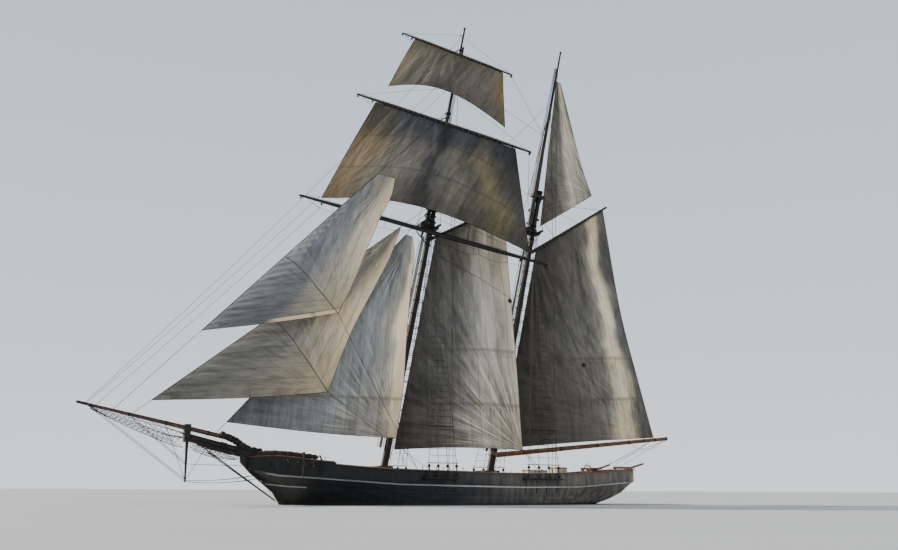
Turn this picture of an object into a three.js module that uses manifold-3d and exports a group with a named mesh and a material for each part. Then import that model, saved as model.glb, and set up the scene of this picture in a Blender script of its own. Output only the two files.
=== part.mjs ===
import * as THREE from 'three'
import { mergeVertices } from 'three/addons/utils/BufferGeometryUtils.js'
import Module from 'manifold-3d'

const wasm = await Module()
wasm.setup()

// Two-masted topsail schooner, decked hull with keel, two raked masts and her sails set.
// Millimetres. +X towards the bow, +Y to port, +Z up. Origin: centreline, amidships, waterline.
// She lies on the starboard tack, so booms, gaffs and clews are to port.

// ---- driving dimensions ------------------------------------------------------------------
const SEAT = 0.3 // gap left where one piece rests on another
const CANVAS = 10 // thickness of a sail
const STAY_R = 16 // radius of a standing stay
const SHROUD_R = 17
const LEG_APART = 52 // between shrouds where they meet at the masthead

const KEEL_HALF = 130
const KEEL_BOTTOM_FORE = { x: 8000, z: -2600 }
const KEEL_BOTTOM_AFT = { x: -9050, z: -3050 }
const RABBET_HALF = 120
const DECK_THICK = 40
const DECK_CAMBER = 70
const BULWARK_THICK = 80
const RAIL_THICK = 60
const RAIL_WIDE = 230

// hull sections, stern to bow: x, rabbet height, three points down the side, deck edge
const STATIONS = [
  // x, zb, y1, z1, y2, z2, y3, z3, yd, zd
  [-12300, 1220, 800, 1230, 1500, 1250, 1950, 1300, 2200, 1420],
  [-11600, 550, 800, 570, 1500, 640, 2050, 850, 2360, 1360],
  [-10900, 200, 700, 220, 1400, 320, 2100, 600, 2520, 1300],
  [-10200, -100, 550, -30, 1250, 80, 2000, 360, 2650, 1250],
  [-9600, -1500, 180, -800, 800, -250, 1850, 150, 2760, 1210],
  [-9050, -2780, 200, -1600, 750, -600, 1850, 50, 2860, 1180],
  [-8000, -2780, 300, -1900, 1050, -950, 2200, 0, 3000, 1130],
  [-6500, -2740, 550, -2100, 1650, -1150, 2750, 0, 3190, 1090],
  [-4500, -2680, 950, -2150, 2250, -1250, 3150, 0, 3360, 1080],
  [-2000, -2600, 1300, -2150, 2700, -1250, 3380, 0, 3460, 1090],
  [500, -2500, 1450, -2050, 2850, -1150, 3450, 0, 3500, 1120],
  [3000, -2380, 1350, -1950, 2700, -1100, 3360, 0, 3500, 1170],
  [5000, -2280, 1050, -1850, 2300, -1050, 3050, 0, 3420, 1250],
  [6800, -2180, 700, -1750, 1650, -1000, 2500, 0, 3240, 1330],
  [8200, -2000, 400, -1600, 1000, -900, 1850, 0, 2950, 1430],
  [9000, -1400, 300, -1050, 700, -500, 1300, 100, 2680, 1490],
  [9600, -620, 250, -380, 600, 50, 1150, 500, 2420, 1530],
  [10000, 50, 200, 250, 500, 500, 1000, 850, 2220, 1570],
  [10500, 700, 200, 820, 500, 1000, 950, 1220, 1920, 1610],
  [11000, 1120, 200, 1200, 450, 1300, 800, 1440, 1550, 1670],
  [11500, 1520, 150, 1560, 350, 1610, 600, 1670, 1100, 1750],
  [11850, 1760, 130, 1780, 250, 1795, 380, 1810, 700, 1830],
].map(([x, zb, y1, z1, y2, z2, y3, z3, yd, zd]) => ({ x, zb, y1, z1, y2, z2, y3, z3, yd, zd }))

// deck edge beyond the last hull section, where only the bulwark goes on to the stem
const BOW_EDGE = [{ x: 12120, yd: 330, zd: 1900 }]

// height of the rail's top along the ship
const SHEER = [
  [-12300, 2210], [-10670, 2070], [-8670, 1950], [-6430, 1890], [-4200, 1840], [-1850, 1850],
  [970, 1920], [2660, 1940], [4460, 1980], [5610, 2040], [6730, 2100], [8000, 2200],
  [8100, 2330], [9040, 2410], [9930, 2540], [10780, 2650], [11450, 2640], [12120, 2600],
].map(([x, z]) => ({ x, z }))

// rig: each mast has its foot on the deck and its rake
const FORE = { x: 4190, z: 1235, rake: 10.8, r0: 225, r1: 160, doubling: 16220, cap: 17680, length: 17815, topOff: 330 }
const MAIN = { x: -2900, z: 1175, rake: 12.12, r0: 235, r1: 170, doubling: 17000, cap: 19700, length: 19835, topOff: 350 }
const TOPMAST = { r0: 150, r1: 60 }
const FORE_TOPMAST_END = 31050
const MAIN_TOPMAST_END = 31220

// yards: distance up the mast, half length, sizes, how far its pin is ahead of the mast that
// holds it, brace, cant, and how far up the mast from the yard the crane's band is
const YARDS = {
  course: { s: 15897, half: 8820, r: 150, tip: 75, ahead: 870, brace: 50, cant: 11.4, band: -870 },
  topsail: { s: 23607, half: 6665, r: 125, tip: 60, ahead: 400, brace: 50, cant: 16.6, band: 500 },
  topgallant: { s: 28932, half: 4483, r: 90, tip: 45, ahead: 300, brace: 50, cant: 20.7, band: 400 },
}
const PIN_R = 32 // radius of the pin that a yard swings on
const STRUT_R = 40 // radius of a crane's strut

// ---- small helpers -----------------------------------------------------------------------
const rad = THREE.MathUtils.degToRad
const P = (x, y, z) => new THREE.Vector3(x, y, z)
const lerp = (a, b, t) => a + (b - a) * t

function table(rows, key, x) {
  if (x <= rows[0].x) return rows[0][key]
  for (let i = 1; i < rows.length; i++) {
    if (x <= rows[i].x) {
      const a = rows[i - 1], b = rows[i]
      return lerp(a[key], b[key], (x - a.x) / (b.x - a.x))
    }
  }
  return rows[rows.length - 1][key]
}
const DECK_EDGE = [...STATIONS, ...BOW_EDGE]
const edgeY = (x) => table(DECK_EDGE, 'yd', x)
// bulwarks thicken to the knightheads
const BULWARK = [{ x: 10000, t: BULWARK_THICK }, { x: 10500, t: 1.5 * BULWARK_THICK }]
const bulwarkAt = (x) => table(BULWARK, 't', x)
const edgeZ = (x) => table(DECK_EDGE, 'zd', x)
const railZ = (x) => table(SHEER, 'z', x)

function closed(positions, index) {
  const g = new THREE.BufferGeometry()
  g.setAttribute('position', new THREE.Float32BufferAttribute(positions, 3))
  g.setIndex(index)
  return outward(g)
}

function outward(g) {
  const p = g.attributes.position, i = g.index.array
  let vol = 0
  const a = P(0, 0, 0), b = P(0, 0, 0), c = P(0, 0, 0)
  for (let k = 0; k < i.length; k += 3) {
    a.fromBufferAttribute(p, i[k]); b.fromBufferAttribute(p, i[k + 1]); c.fromBufferAttribute(p, i[k + 2])
    vol += a.dot(b.cross(c))
  }
  if (vol < 0) for (let k = 0; k < i.length; k += 3) { const t = i[k]; i[k] = i[k + 1]; i[k + 1] = t }
  return g
}

// solid through rings of equal count, ends closed on their middles
function loft(rings) {
  const n = rings[0].length, pos = [], idx = []
  rings.forEach((r) => r.forEach((q) => pos.push(q.x, q.y, q.z)))
  for (let k = 0; k < rings.length - 1; k++) {
    for (let j = 0; j < n; j++) {
      const a = k * n + j, b = k * n + (j + 1) % n, c = a + n, d = b + n
      idx.push(a, b, d, a, d, c)
    }
  }
  const cap = (ring, base, flip) => {
    const m = ring.reduce((s, q) => s.add(q), P(0, 0, 0)).divideScalar(n)
    const at = pos.length / 3
    pos.push(m.x, m.y, m.z)
    for (let j = 0; j < n; j++) {
      const a = base + j, b = base + (j + 1) % n
      idx.push(...(flip ? [at, a, b] : [at, b, a]))
    }
  }
  cap(rings[0], 0, false)
  cap(rings[rings.length - 1], (rings.length - 1) * n, true)
  return closed(pos, idx)
}

// round bar along a line of points, a corner of its section towards ref
function bar(points, radii, sides = 8, ref = P(0, 0, 1)) {
  const rings = points.map((q, k) => {
    const t = P(0, 0, 0).subVectors(points[Math.min(k + 1, points.length - 1)], points[Math.max(k - 1, 0)]).normalize()
    const n = ref.clone().addScaledVector(t, -ref.dot(t)).normalize()
    const b = P(0, 0, 0).crossVectors(t, n)
    const r = Array.isArray(radii) ? radii[k] : radii
    return Array.from({ length: sides }, (_, j) => {
      const a = (2 * Math.PI * j) / sides
      return q.clone().addScaledVector(n, r * Math.cos(a)).addScaledVector(b, r * Math.sin(a))
    })
  })
  return loft(rings)
}

function block(cx, cy, cz, sx, sy, sz) {
  return new THREE.BoxGeometry(sx, sy, sz).translate(cx, cy, cz)
}

// plate with its outline in the X-Z plane, thick across Y
function plateXZ(outline, y0, y1) {
  const shape = new THREE.Shape(outline.map(([x, z]) => new THREE.Vector2(x, z)))
  const g = new THREE.ExtrudeGeometry(shape, { depth: y1 - y0, bevelEnabled: false })
  return g.rotateX(Math.PI / 2).translate(0, y1, 0)
}

// sail: thin closed skin over a grid of points
function skin(grid, thick, foreNormal, headNormal) {
  const nv = grid.length, nu = grid[0].length
  const at = (v, u) => grid[Math.min(Math.max(v, 0), nv - 1)][Math.min(Math.max(u, 0), nu - 1)]
  const front = [], back = []
  for (let v = 0; v < nv; v++) {
    for (let u = 0; u < nu; u++) {
      const du = P(0, 0, 0).subVectors(at(v, u + 1), at(v, u - 1))
      const dv = P(0, 0, 0).subVectors(at(v + 1, u), at(v - 1, u))
      let n = du.cross(dv).normalize()
      if (foreNormal && u === 0) n = foreNormal
      if (headNormal && v === nv - 1) n = headNormal
      front.push(at(v, u).clone().addScaledVector(n, thick / 2))
      back.push(at(v, u).clone().addScaledVector(n, -thick / 2))
    }
  }
  const pos = [], idx = [], m = nv * nu
  for (const q of [...front, ...back]) pos.push(q.x, q.y, q.z)
  for (let v = 0; v < nv - 1; v++) {
    for (let u = 0; u < nu - 1; u++) {
      const a = v * nu + u, b = a + 1, c = a + nu, d = c + 1
      idx.push(a, b, d, a, d, c, a + m, d + m, b + m, a + m, c + m, d + m)
    }
  }
  const rim = []
  for (let u = 0; u < nu; u++) rim.push(u)
  for (let v = 1; v < nv; v++) rim.push(v * nu + nu - 1)
  for (let u = nu - 2; u >= 0; u--) rim.push((nv - 1) * nu + u)
  for (let v = nv - 2; v > 0; v--) rim.push(v * nu)
  rim.forEach((a, k) => {
    const b = rim[(k + 1) % rim.length]
    idx.push(a, a + m, b + m, a, b + m, b)
  })
  return closed(pos, idx)
}

function toManifold(g) {
  const c = g.clone()
  c.deleteAttribute('normal')
  c.deleteAttribute('uv')
  const w = mergeVertices(c, 1e-3)
  return new wasm.Manifold(new wasm.Mesh({
    numProp: 3,
    vertProperties: new Float32Array(w.attributes.position.array),
    triVerts: new Uint32Array(w.index.array),
  }))
}
function fromManifold(m) {
  const r = m.getMesh(), g = new THREE.BufferGeometry()
  g.setAttribute('position', new THREE.Float32BufferAttribute(new Float32Array(r.vertProperties), 3))
  g.setIndex(new THREE.Uint32BufferAttribute(new Uint32Array(r.triVerts), 1))
  return g
}
const join = (...gs) => fromManifold(gs.map(toManifold).reduce((a, b) => a.add(b)))
const carve = (g, ...cuts) => fromManifold(cuts.map(toManifold).reduce((a, b) => a.subtract(b), toManifold(g)))

// points along a polyline at even shares of its length
function resample(points, n) {
  const d = [0]
  for (let i = 1; i < points.length; i++) d.push(d[i - 1] + points[i].distanceTo(points[i - 1]))
  return Array.from({ length: n }, (_, k) => {
    const t = (d[d.length - 1] * k) / (n - 1)
    let i = 1
    while (i < points.length - 1 && d[i] < t) i++
    return points[i - 1].clone().lerp(points[i], (t - d[i - 1]) / (d[i] - d[i - 1]))
  })
}
// smooth curve through points
const curve = (points, n) => new THREE.CatmullRomCurve3(points, false, 'centripetal').getSpacedPoints(n - 1)

// sail between two edges, both foot to head, with belly to the given side and an arch in the foot
function sail({ fore, aft, nu = 10, nv = 12, belly = 600, side = P(0, 1, 0), arch = P(0, 0, 0), deep = 0.42, foreNormal, headNormal }) {
  const a = resample(fore, nv), b = resample(aft, nv)
  const grid = a.map((q, v) => {
    const t = v / (nv - 1)
    const row = Math.sin(Math.PI * Math.min(1, 0.22 + 0.78 * t)) * 0.6 + 0.55 * (1 - t)
    return Array.from({ length: nu }, (_, u) => {
      const s = u / (nu - 1)
      const w = Math.sin(Math.PI * Math.pow(s, Math.log(0.5) / Math.log(deep)))
      return q.clone().lerp(b[v], s)
        .addScaledVector(side, belly * row * w)
        .addScaledVector(arch, Math.sin(Math.PI * s) * (1 - t) * (1 - t))
    })
  })
  return skin(grid, CANVAS, foreNormal, headNormal)
}

const group = new THREE.Group()
group.name = 'tall_ship'
function add(name, geometry, color, roughness = 0.7, metalness = 0) {
  geometry.computeVertexNormals()
  const m = new THREE.Mesh(geometry, new THREE.MeshStandardMaterial({ color, roughness, metalness }))
  m.name = name
  group.add(m)
  return m
}
const BLACK = '#17181a', TIMBER = '#6b4526', VARNISH = '#8a4a1f', SPAR = '#3a2a20', DECKING = '#a98a63'
const CLOTH = '#c9bfa8', ROPE = '#2b2622', WHITE = '#d8d6cf', IRON = '#26282b'

// ---- hull --------------------------------------------------------------------------------
// one side's section from the rabbet up to the deck edge
function sectionSide(s) {
  const pts = [P(s.x, RABBET_HALF, s.zb), P(s.x, s.y1, s.z1), P(s.x, s.y2, s.z2), P(s.x, s.y3, s.z3), P(s.x, s.yd, s.zd)]
  return new THREE.CatmullRomCurve3(pts, false, 'centripetal').getPoints(12).map((q) => P(s.x, q.y, q.z))
}
const mirror = (q) => P(q.x, -q.y, q.z)
const hullRings = STATIONS.map((s) => {
  const side = sectionSide(s)
  return [...side, P(s.x, 0, s.zd + DECK_CAMBER * Math.min(1, s.yd / 2500)), ...side.map(mirror).reverse()]
})
const hull = loft(hullRings)
add('hull', hull, BLACK, 0.55)

// deck planking, over the hull and inside the bulwarks
const crown = (x) => DECK_CAMBER * Math.min(1, edgeY(x) / 2500)
function deckRing(x, lift, inset, thick) {
  const e = edgeY(x), z = edgeZ(x), c = crown(x), y = e - inset
  const at = (t) => z + c * (1 - Math.abs(t * y) / e) + lift
  const top = [-1, 0, 1].map((t) => P(x, t * y, at(t) + thick))
  const low = [1, 0, -1].map((t) => P(x, t * y, at(t)))
  return [...top, ...low]
}
const deckStations = STATIONS.map((s) => s.x).filter((x) => x > -12300 && x < 11800)
const deckXs = [-12200, ...deckStations]
const deck = loft(deckXs.map((x) => deckRing(x, SEAT, bulwarkAt(x) + SEAT, DECK_THICK)))
add('deck', deck, DECKING, 0.8)

// everything up to the deck's top and a hair more, for fittings to be fitted down on
const deckCut = loft(deckXs.map((x) => deckRing(x, -1500, -20, 1500 + DECK_THICK + 2 * SEAT)))
const seat = (g) => carve(g, deckCut)
const deckTop = (x, y = 0) => edgeZ(x) + crown(x) * (1 - Math.abs(y) / edgeY(x)) + DECK_THICK + SEAT

// ---- keel, stem, sternpost, rudder -------------------------------------------------------
const rabbetZ = (x) => table(STATIONS, 'zb', x)
const keelBottom = (x) => lerp(KEEL_BOTTOM_FORE.z, KEEL_BOTTOM_AFT.z,
  (x - KEEL_BOTTOM_FORE.x) / (KEEL_BOTTOM_AFT.x - KEEL_BOTTOM_FORE.x))
const keelXs = [-9050, -8000, -6500, -4500, -2000, 500, 3000, 5000, 6800, 8000]
add('keel', loft(keelXs.map((x) => {
  const h = KEEL_HALF, zt = rabbetZ(x) - SEAT, zl = keelBottom(x)
  return [P(x, -h, zt), P(x, h, zt), P(x, h, zl), P(x, -h, zl)]
})), BLACK, 0.6)

// bowsprit's line is wanted here for the stem head
const BOWSPRIT = { a: P(10450, 0, 2320), b: P(15480, 0, 3550), r0: 250, r1: 215 }
const bowspritBar = bar([BOWSPRIT.a, BOWSPRIT.b], [BOWSPRIT.r0, BOWSPRIT.r1], 12)
const bowspritRoom = bar([BOWSPRIT.a, BOWSPRIT.b], [BOWSPRIT.r0 + SEAT, BOWSPRIT.r1 + SEAT], 12)

const rabbetBow = STATIONS.filter((s) => s.x >= 8200).map((s) => [s.x, s.zb])
const stemOutline = [
  [8000 + SEAT, -2600], [8700, -2330], [9400, -1560], [9900, -640], [10290, 120], [10620, 640], [11240, 1140],
  [11930, 1680], [12520, 2270], [12540, 2700], [12100, 2700], [11990, 1900],
  ...rabbetBow.reverse().map(([x, z]) => [x + 4, z - 4]), [8000 + SEAT, -2026 - 3],
]
add('stem', carve(plateXZ(stemOutline, -RABBET_HALF, RABBET_HALF), bowspritRoom,
  block(12300, 0, 2900, 900, 500, 560)), BLACK, 0.55)

// the rudder turns on a round stock, let in close behind the post
const RUDDER_FOOT = P(-9400, 0, -3020), RUDDER_HEAD = P(-10500, 0, -140), STOCK_R = 60
const stockDir = P(0, 0, 0).subVectors(RUDDER_HEAD, RUDDER_FOOT).normalize()
const stockFore = P(stockDir.z, 0, -stockDir.x)
const STOCK_TOP = RUDDER_HEAD.clone().addScaledVector(stockDir, 150)
// the post's after face at a given height
function postAft(z) {
  const q = RUDDER_FOOT.clone().addScaledVector(stockFore, STOCK_R + SEAT)
  return [q.x + ((z - q.z) * stockDir.x) / stockDir.z, z]
}
const HEEL_X = -9050 // keel's after end
const postFore = STATIONS.filter((s) => s.x >= -10200 && s.x <= HEEL_X).map((s) => [s.x - 1.1 * SEAT, s.zb]).reverse()
add('sternpost', plateXZ([[HEEL_X - SEAT, keelBottom(HEEL_X)], ...postFore,
  [-10420, -16], postAft(-60), postAft(-3060), [HEEL_X - SEAT - 3, keelBottom(HEEL_X) - 3]],
  -RABBET_HALF, RABBET_HALF), BLACK, 0.6)
const rudderBlade = plateXZ([[-9440, -3000], [-10500, -2960], [-10900, -2300], [-11020, -1000], [-10960, -430],
  [-10560, -190], [-10495, -165]], -58, 58)
add('rudder', join(rudderBlade, bar([RUDDER_FOOT, STOCK_TOP], STOCK_R, 12, P(1, 0, 0))), BLACK, 0.6)

// ---- bulwarks, rail, transom ---------------------------------------------------------------
const bulwarkXs = [-12240, -11600, -10900, -10200, -9600, -9050, -8000, -6500, -4500, -2000, 500, 3000, 5000, 6800,
  8000, 8100, 8200, 9000, 9600, 10000, 10500, 11000, 11500, 11850, 12120]
const SIDES = [['port', 1], ['starboard', -1]]
const railXs = bulwarkXs.map((x) => (x === -12240 ? -12150 : x))
const railBar = (k, grow) => loft(railXs.map((x) => {
  const yo = edgeY(x) + 70 + grow, yi = Math.max(edgeY(x) + 70 - RAIL_WIDE * (x > 10400 ? 1.35 : 1), 12) - grow, z = railZ(x)
  return [P(x, k * yo, z - RAIL_THICK - grow), P(x, k * yo, z + grow), P(x, k * yi, z + grow), P(x, k * yi, z - RAIL_THICK - grow)]
}))
for (const [name, k] of SIDES) {
  add(`bulwark_${name}`, loft(bulwarkXs.map((x) => {
    const yo = edgeY(x), yi = yo - bulwarkAt(x)
    const zb = edgeZ(x) + crown(x) * bulwarkAt(x) / yo + SEAT
    const zt = railZ(x) - RAIL_THICK - SEAT
    return [P(x, k * yo, zb), P(x, k * yo, zt), P(x, k * yi, zt), P(x, k * yi, zb + 4)]
  })), BLACK, 0.55)
  add(`rail_cap_${name}`, carve(railBar(k, 0), bowspritRoom, block(12300, 0, 2600, 900, 2 * RABBET_HALF + 2 * SEAT, 900)), VARNISH, 0.35)
}
const TRANSOM_X = -12300
add('transom', loft([[TRANSOM_X - SEAT, 0], [TRANSOM_X - 110, 40]].map(([x, tuck]) => [
  P(x, 2200 - tuck / 2, 1425), P(x, 2180 - tuck / 2, 2150 - SEAT), P(x, 0, 2170 - SEAT), P(x, -2180 + tuck / 2, 2150 - SEAT), P(x, -2200 + tuck / 2, 1425),
  P(x, -1900, 1290 + tuck), P(x, -1300, 1245 + tuck), P(x, 0, 1222 + tuck), P(x, 1300, 1245 + tuck), P(x, 1900, 1290 + tuck)])), BLACK, 0.5)
add('taffrail', loft([-12155, -12440].map((x) => [
  P(x, 2310, 2152), P(x, 2310, 2212), P(x, 0, 2232), P(x, -2310, 2212), P(x, -2310, 2152), P(x, 0, 2172)])), VARNISH, 0.35)

// ---- deck fittings -----------------------------------------------------------------------
const onDeck = (x, wx, wy, h, y = 0) => block(x, y, deckTop(x) - 150 + h / 2, wx, wy, h + 300)
add('fore_hatch', seat(join(onDeck(6900, 1100, 1000, 420), block(6900, 0, deckTop(6900) + 440, 1200, 1100, 60))), TIMBER)
add('main_hatch', seat(join(onDeck(900, 1700, 1500, 350), block(900, 0, deckTop(900) + 370, 1800, 1600, 60))), TIMBER)
add('trunk_cabin', seat(join(onDeck(-6800, 3200, 2300, 520), block(-6800, 0, deckTop(-6800) + 535, 3320, 2420, 60),
  block(-6300, 0, deckTop(-6800) + 680, 1300, 900, 280), block(-7900, 300, deckTop(-6800) + 770, 800, 800, 480))), WHITE)
const WINDLASS_X = 9100
add('windlass', seat(join(
  bar([P(WINDLASS_X, -850, deckTop(WINDLASS_X) + 420), P(WINDLASS_X, 850, deckTop(WINDLASS_X) + 420)], 160, 10, P(1, 0, 0)),
  block(WINDLASS_X, 620, deckTop(WINDLASS_X) + 250, 220, 130, 900), block(WINDLASS_X, -620, deckTop(WINDLASS_X) + 250, 220, 130, 900),
  block(WINDLASS_X + 10, 0, deckTop(WINDLASS_X) + 250, 240, 200, 1000))), TIMBER)
add('bowsprit_bitts', carve(seat(join(block(10380, 330, 1950, 200, 150, 1500), block(10380, -330, 1950, 200, 150, 1500),
  block(10290, 0, 2250, 140, 900, 300))), bowspritRoom), TIMBER)

function fife(mast, name) {
  const x = mast.x + 520, z = deckTop(x)
  add(name, seat(join(block(x, 0, z + 780, 150, 1500, 90), block(x, 650, z + 300, 130, 130, 1050), block(x, -650, z + 300, 130, 130, 1050),
    block(x - 450, 700, z + 780, 1000, 130, 90), block(x - 450, -700, z + 780, 1000, 130, 90),
    block(x - 880, 700, z + 300, 120, 120, 1050), block(x - 880, -700, z + 300, 120, 120, 1050))), TIMBER)
}
fife(FORE, 'fore_fife_rail')
fife(MAIN, 'main_fife_rail')

for (const [name, k] of SIDES) {
  // cathead: from the deck, over the rail and out over the bow
  const cx = 9500
  add(`cathead_${name}`, carve(bar([P(cx, k * 1500, railZ(cx) + 95), P(cx + 180, k * (edgeY(cx) + 60), railZ(cx) + 95), P(cx + 420, k * (edgeY(cx) + 800), railZ(cx) + 235)],
    [95, 105, 90], 4, P(0, k * 1, 1)), railBar(k, SEAT)), TIMBER)
}

// steering wheel and its stand
const WHEEL_X = -10350
const wheelZ = deckTop(WHEEL_X) + 680
add('wheel_stand', seat(join(block(WHEEL_X - 330, 0, deckTop(WHEEL_X) + 350, 520, 560, 1150), bar([P(WHEEL_X - 200, 0, wheelZ), P(WHEEL_X - 40 - SEAT, 0, wheelZ)], 55, 8))), TIMBER)
const wheelRim = new THREE.TorusGeometry(430, 32, 6, 18).rotateY(Math.PI / 2).translate(WHEEL_X, 0, wheelZ)
const spokes = Array.from({ length: 4 }, (_, i) => {
  const a = (Math.PI * i) / 4, y = Math.cos(a) * 590, z = Math.sin(a) * 590
  return bar([P(WHEEL_X, -y, wheelZ - z), P(WHEEL_X, y, wheelZ + z)], 22, 6, P(1, 0, 0))
})
add('steering_wheel', join(wheelRim, ...spokes, bar([P(WHEEL_X - 40, 0, wheelZ), P(WHEEL_X + 50, 0, wheelZ)], 100, 10)), VARNISH, 0.4)

// stern davits: timbers over the taffrail, their fore ends on posts
const DAVIT_Y = 1850, DAVIT_R = 95, DAVIT_Z = 2217 + DAVIT_R * Math.SQRT1_2
for (const [name, k] of SIDES) {
  const arm = bar([[-11100, DAVIT_Z, DAVIT_R], [-12450, DAVIT_Z, DAVIT_R], [-13150, 2480, 80], [-13500, 2570, 65]]
    .map(([x, z]) => P(x, k * DAVIT_Y, z)), [DAVIT_R, DAVIT_R, 80, 65], 4, P(0, k, 1))
  add(`stern_davit_${name}`, seat(join(arm, block(-11200, k * DAVIT_Y, 1750, 130, 130, 1000))), VARNISH, 0.4)
}

// ---- bowsprit and jibboom ------------------------------------------------------------------
const JIBBOOM = { a: P(12700, 0, 3450), b: P(21150, 0, 5200), r0: 125, r1: 65 }
add('bowsprit', bowspritBar, SPAR)
const JIBBOOM_MID = P(15500, 0, 4030)
const JIBBOOM_SLOPE = (JIBBOOM.b.z - JIBBOOM_MID.z) / (JIBBOOM.b.x - JIBBOOM_MID.x)
// height of the jibboom's upper edge
function jibboomTop(x) {
  const [p, q, r0, r1] = x < JIBBOOM_MID.x ? [JIBBOOM.a, JIBBOOM_MID, JIBBOOM.r0, JIBBOOM.r0] : [JIBBOOM_MID, JIBBOOM.b, JIBBOOM.r0, JIBBOOM.r1]
  const t = (x - p.x) / (q.x - p.x), slope = (q.z - p.z) / (q.x - p.x)
  return lerp(p.z, q.z, t) + lerp(r0, r1, t) * Math.hypot(1, slope)
}
const jibboomBar = bar([JIBBOOM.a, JIBBOOM_MID, JIBBOOM.b], [JIBBOOM.r0, JIBBOOM.r0, JIBBOOM.r1], 10)
const jibboomRoom = bar([JIBBOOM.a, JIBBOOM_MID, JIBBOOM.b], [JIBBOOM.r0 + SEAT, JIBBOOM.r0 + SEAT, JIBBOOM.r1 + SEAT], 10)
add('jibboom', jibboomBar, VARNISH, 0.4)
const capCut = bar([P(15000, 0, 3432.6), P(15480 + SEAT, 0, 3550)], [BOWSPRIT.r1 + 4, BOWSPRIT.r1 + SEAT], 12)
add('bowsprit_cap', carve(block(15470, 0, 3760, 320, 520, 940), jibboomRoom, bowspritRoom, capCut), SPAR)
add('dolphin_striker', carve(join(bar([P(15440, 0, 3300), P(15400, 0, 1190)], [85, 45], 8, P(1, 0, 0)),
  block(15440, 0, 3190, 120, 200, 220)), block(15440, 0, 3790 - SEAT, 1000, 600, 1000)), SPAR)

// ---- masts ---------------------------------------------------------------------------------
const axisOf = (m) => P(-Math.sin(rad(m.rake)), 0, Math.cos(rad(m.rake)))
const aheadOf = (m) => P(Math.cos(rad(m.rake)), 0, Math.sin(rad(m.rake)))
// point on a mast: s up the axis, ahead of it, to port of it
const onMast = (m, s, ahead = 0, port = 0) => P(m.x, port, m.z).addScaledVector(axisOf(m), s).addScaledVector(aheadOf(m), ahead)
// puts a piece drawn about a mast's foot, axis up, in its place
const placed = (m, g) => g.rotateY(-rad(m.rake)).translate(m.x, 0, m.z)
const mastBar = (m, grow) => bar([onMast(m, -300), onMast(m, m.doubling), onMast(m, m.length)],
  [m.r0 + grow, m.r1 + grow, m.r1 - 20 + grow], 12, aheadOf(m))
const topmastBar = (m, s0, s1, grow) => bar([onMast(m, s0, m.topOff), onMast(m, m.cap, m.topOff), onMast(m, s1, m.topOff)],
  [TOPMAST.r0 + grow, TOPMAST.r0 + grow, TOPMAST.r1 + grow], 12, aheadOf(m))

// twelve-sided hole round a bar of radius r, its flats against the bar's corners;
// turn is how far its own frame is swung from the bar's
function roundHole(r, h, turn = 0) {
  const a = rad(15 - turn)
  return bar([P(0, 0, -h), P(0, 0, h)], (r + SEAT) / Math.cos(rad(15)), 12, P(Math.cos(a), Math.sin(a), 0))
}
const mastRadiusAt = (m, s) => lerp(m.r0, m.r1, Math.min(1, (s + 300) / (m.doubling + 300)))
const topRadiusAt = (m, s, end) => lerp(TOPMAST.r0, TOPMAST.r1, Math.max(0, (s - m.cap) / (end - m.cap)))
// iron crane: a band round the mast of radius r, a strut from it, and the yard's pin at its end
function crane(m, y, off, r) {
  const at = (ahead, up) => onMast(m, y.s + up, off + ahead)
  const side = Math.sign(y.band), reach = side * (y.r + 90)
  return join(
    bar([at(y.ahead, -side * (y.r - 20)), at(y.ahead, reach + side * 40)], PIN_R, 12, aheadOf(m)),
    bar([at(0, y.band), at(y.ahead, reach)], STRUT_R, 8, P(0, 1, 0)),
    bar([at(0, y.band - 50), at(0, y.band + 50)], r + 35, 12, aheadOf(m)))
}

function mastSet(m, name, topEnd, mastIron = [], topmastIron = []) {
  const short = name === 'fore' ? 'foremast' : 'mainmast'
  add(short, seat(join(mastBar(m, 0), ...mastIron)), SPAR)
  const foot = m.doubling + 20
  add(`${name}_topmast`, join(topmastBar(m, foot - 250, topEnd, 0), ...topmastIron), SPAR)
  const cutMast = mastBar(m, SEAT), cutTop = topmastBar(m, foot - 400, topEnd, SEAT)
  // trestletrees fore and aft, crosstrees across them
  const trees = join(
    ...[1, -1].map((k) => block(m.topOff / 2, k * 235, m.doubling + 30, 1250, 110, 130)),
    block(-330, 0, m.doubling + 110, 130, 1500, 100), block(m.topOff + 330, 0, m.doubling + 110, 130, 1500, 100),
    block(m.topOff / 2, 0, m.doubling, 1150, 380, 150))
  add(`${name}_crosstrees`, carve(placed(m, trees), cutMast, cutTop), SPAR)
  add(`${name}_cap`, carve(placed(m, block(m.topOff / 2, 0, m.cap, m.topOff + 480, 400, 260)), cutMast, cutTop), SPAR)
}
const craneOn = (y) => crane(FORE, y, FORE.topOff, topRadiusAt(FORE, y.s + y.band, FORE_TOPMAST_END))
mastSet(FORE, 'fore', FORE_TOPMAST_END,
  [crane(FORE, YARDS.course, 0, mastRadiusAt(FORE, YARDS.course.s + YARDS.course.band))],
  [craneOn(YARDS.topsail), craneOn(YARDS.topgallant)])
mastSet(MAIN, 'main', MAIN_TOPMAST_END)

// ---- yards ---------------------------------------------------------------------------------
// drawn about the pin they swing on: x ahead, y along the yard, z up the mast
function yardPiece(m, y, off) {
  const spar = bar([-1, -0.55, -0.03, 0.03, 0.55, 1].map((k) => P(0, k * y.half, 0)), [y.tip, y.r, y.r, y.r, y.r, y.tip], 8, P(1, 0, 0))
  const o = onMast(m, y.s, off + y.ahead)
  return carve(spar.rotateX(rad(-y.cant)), roundHole(PIN_R, 2 * y.r))
    .rotateZ(rad(y.brace)).rotateY(-rad(m.rake)).translate(o.x, o.y, o.z)
}
add('course_yard', yardPiece(FORE, YARDS.course, 0), SPAR)
add('topsail_yard', yardPiece(FORE, YARDS.topsail, FORE.topOff), SPAR)
add('topgallant_yard', yardPiece(FORE, YARDS.topgallant, FORE.topOff), SPAR)

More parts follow.
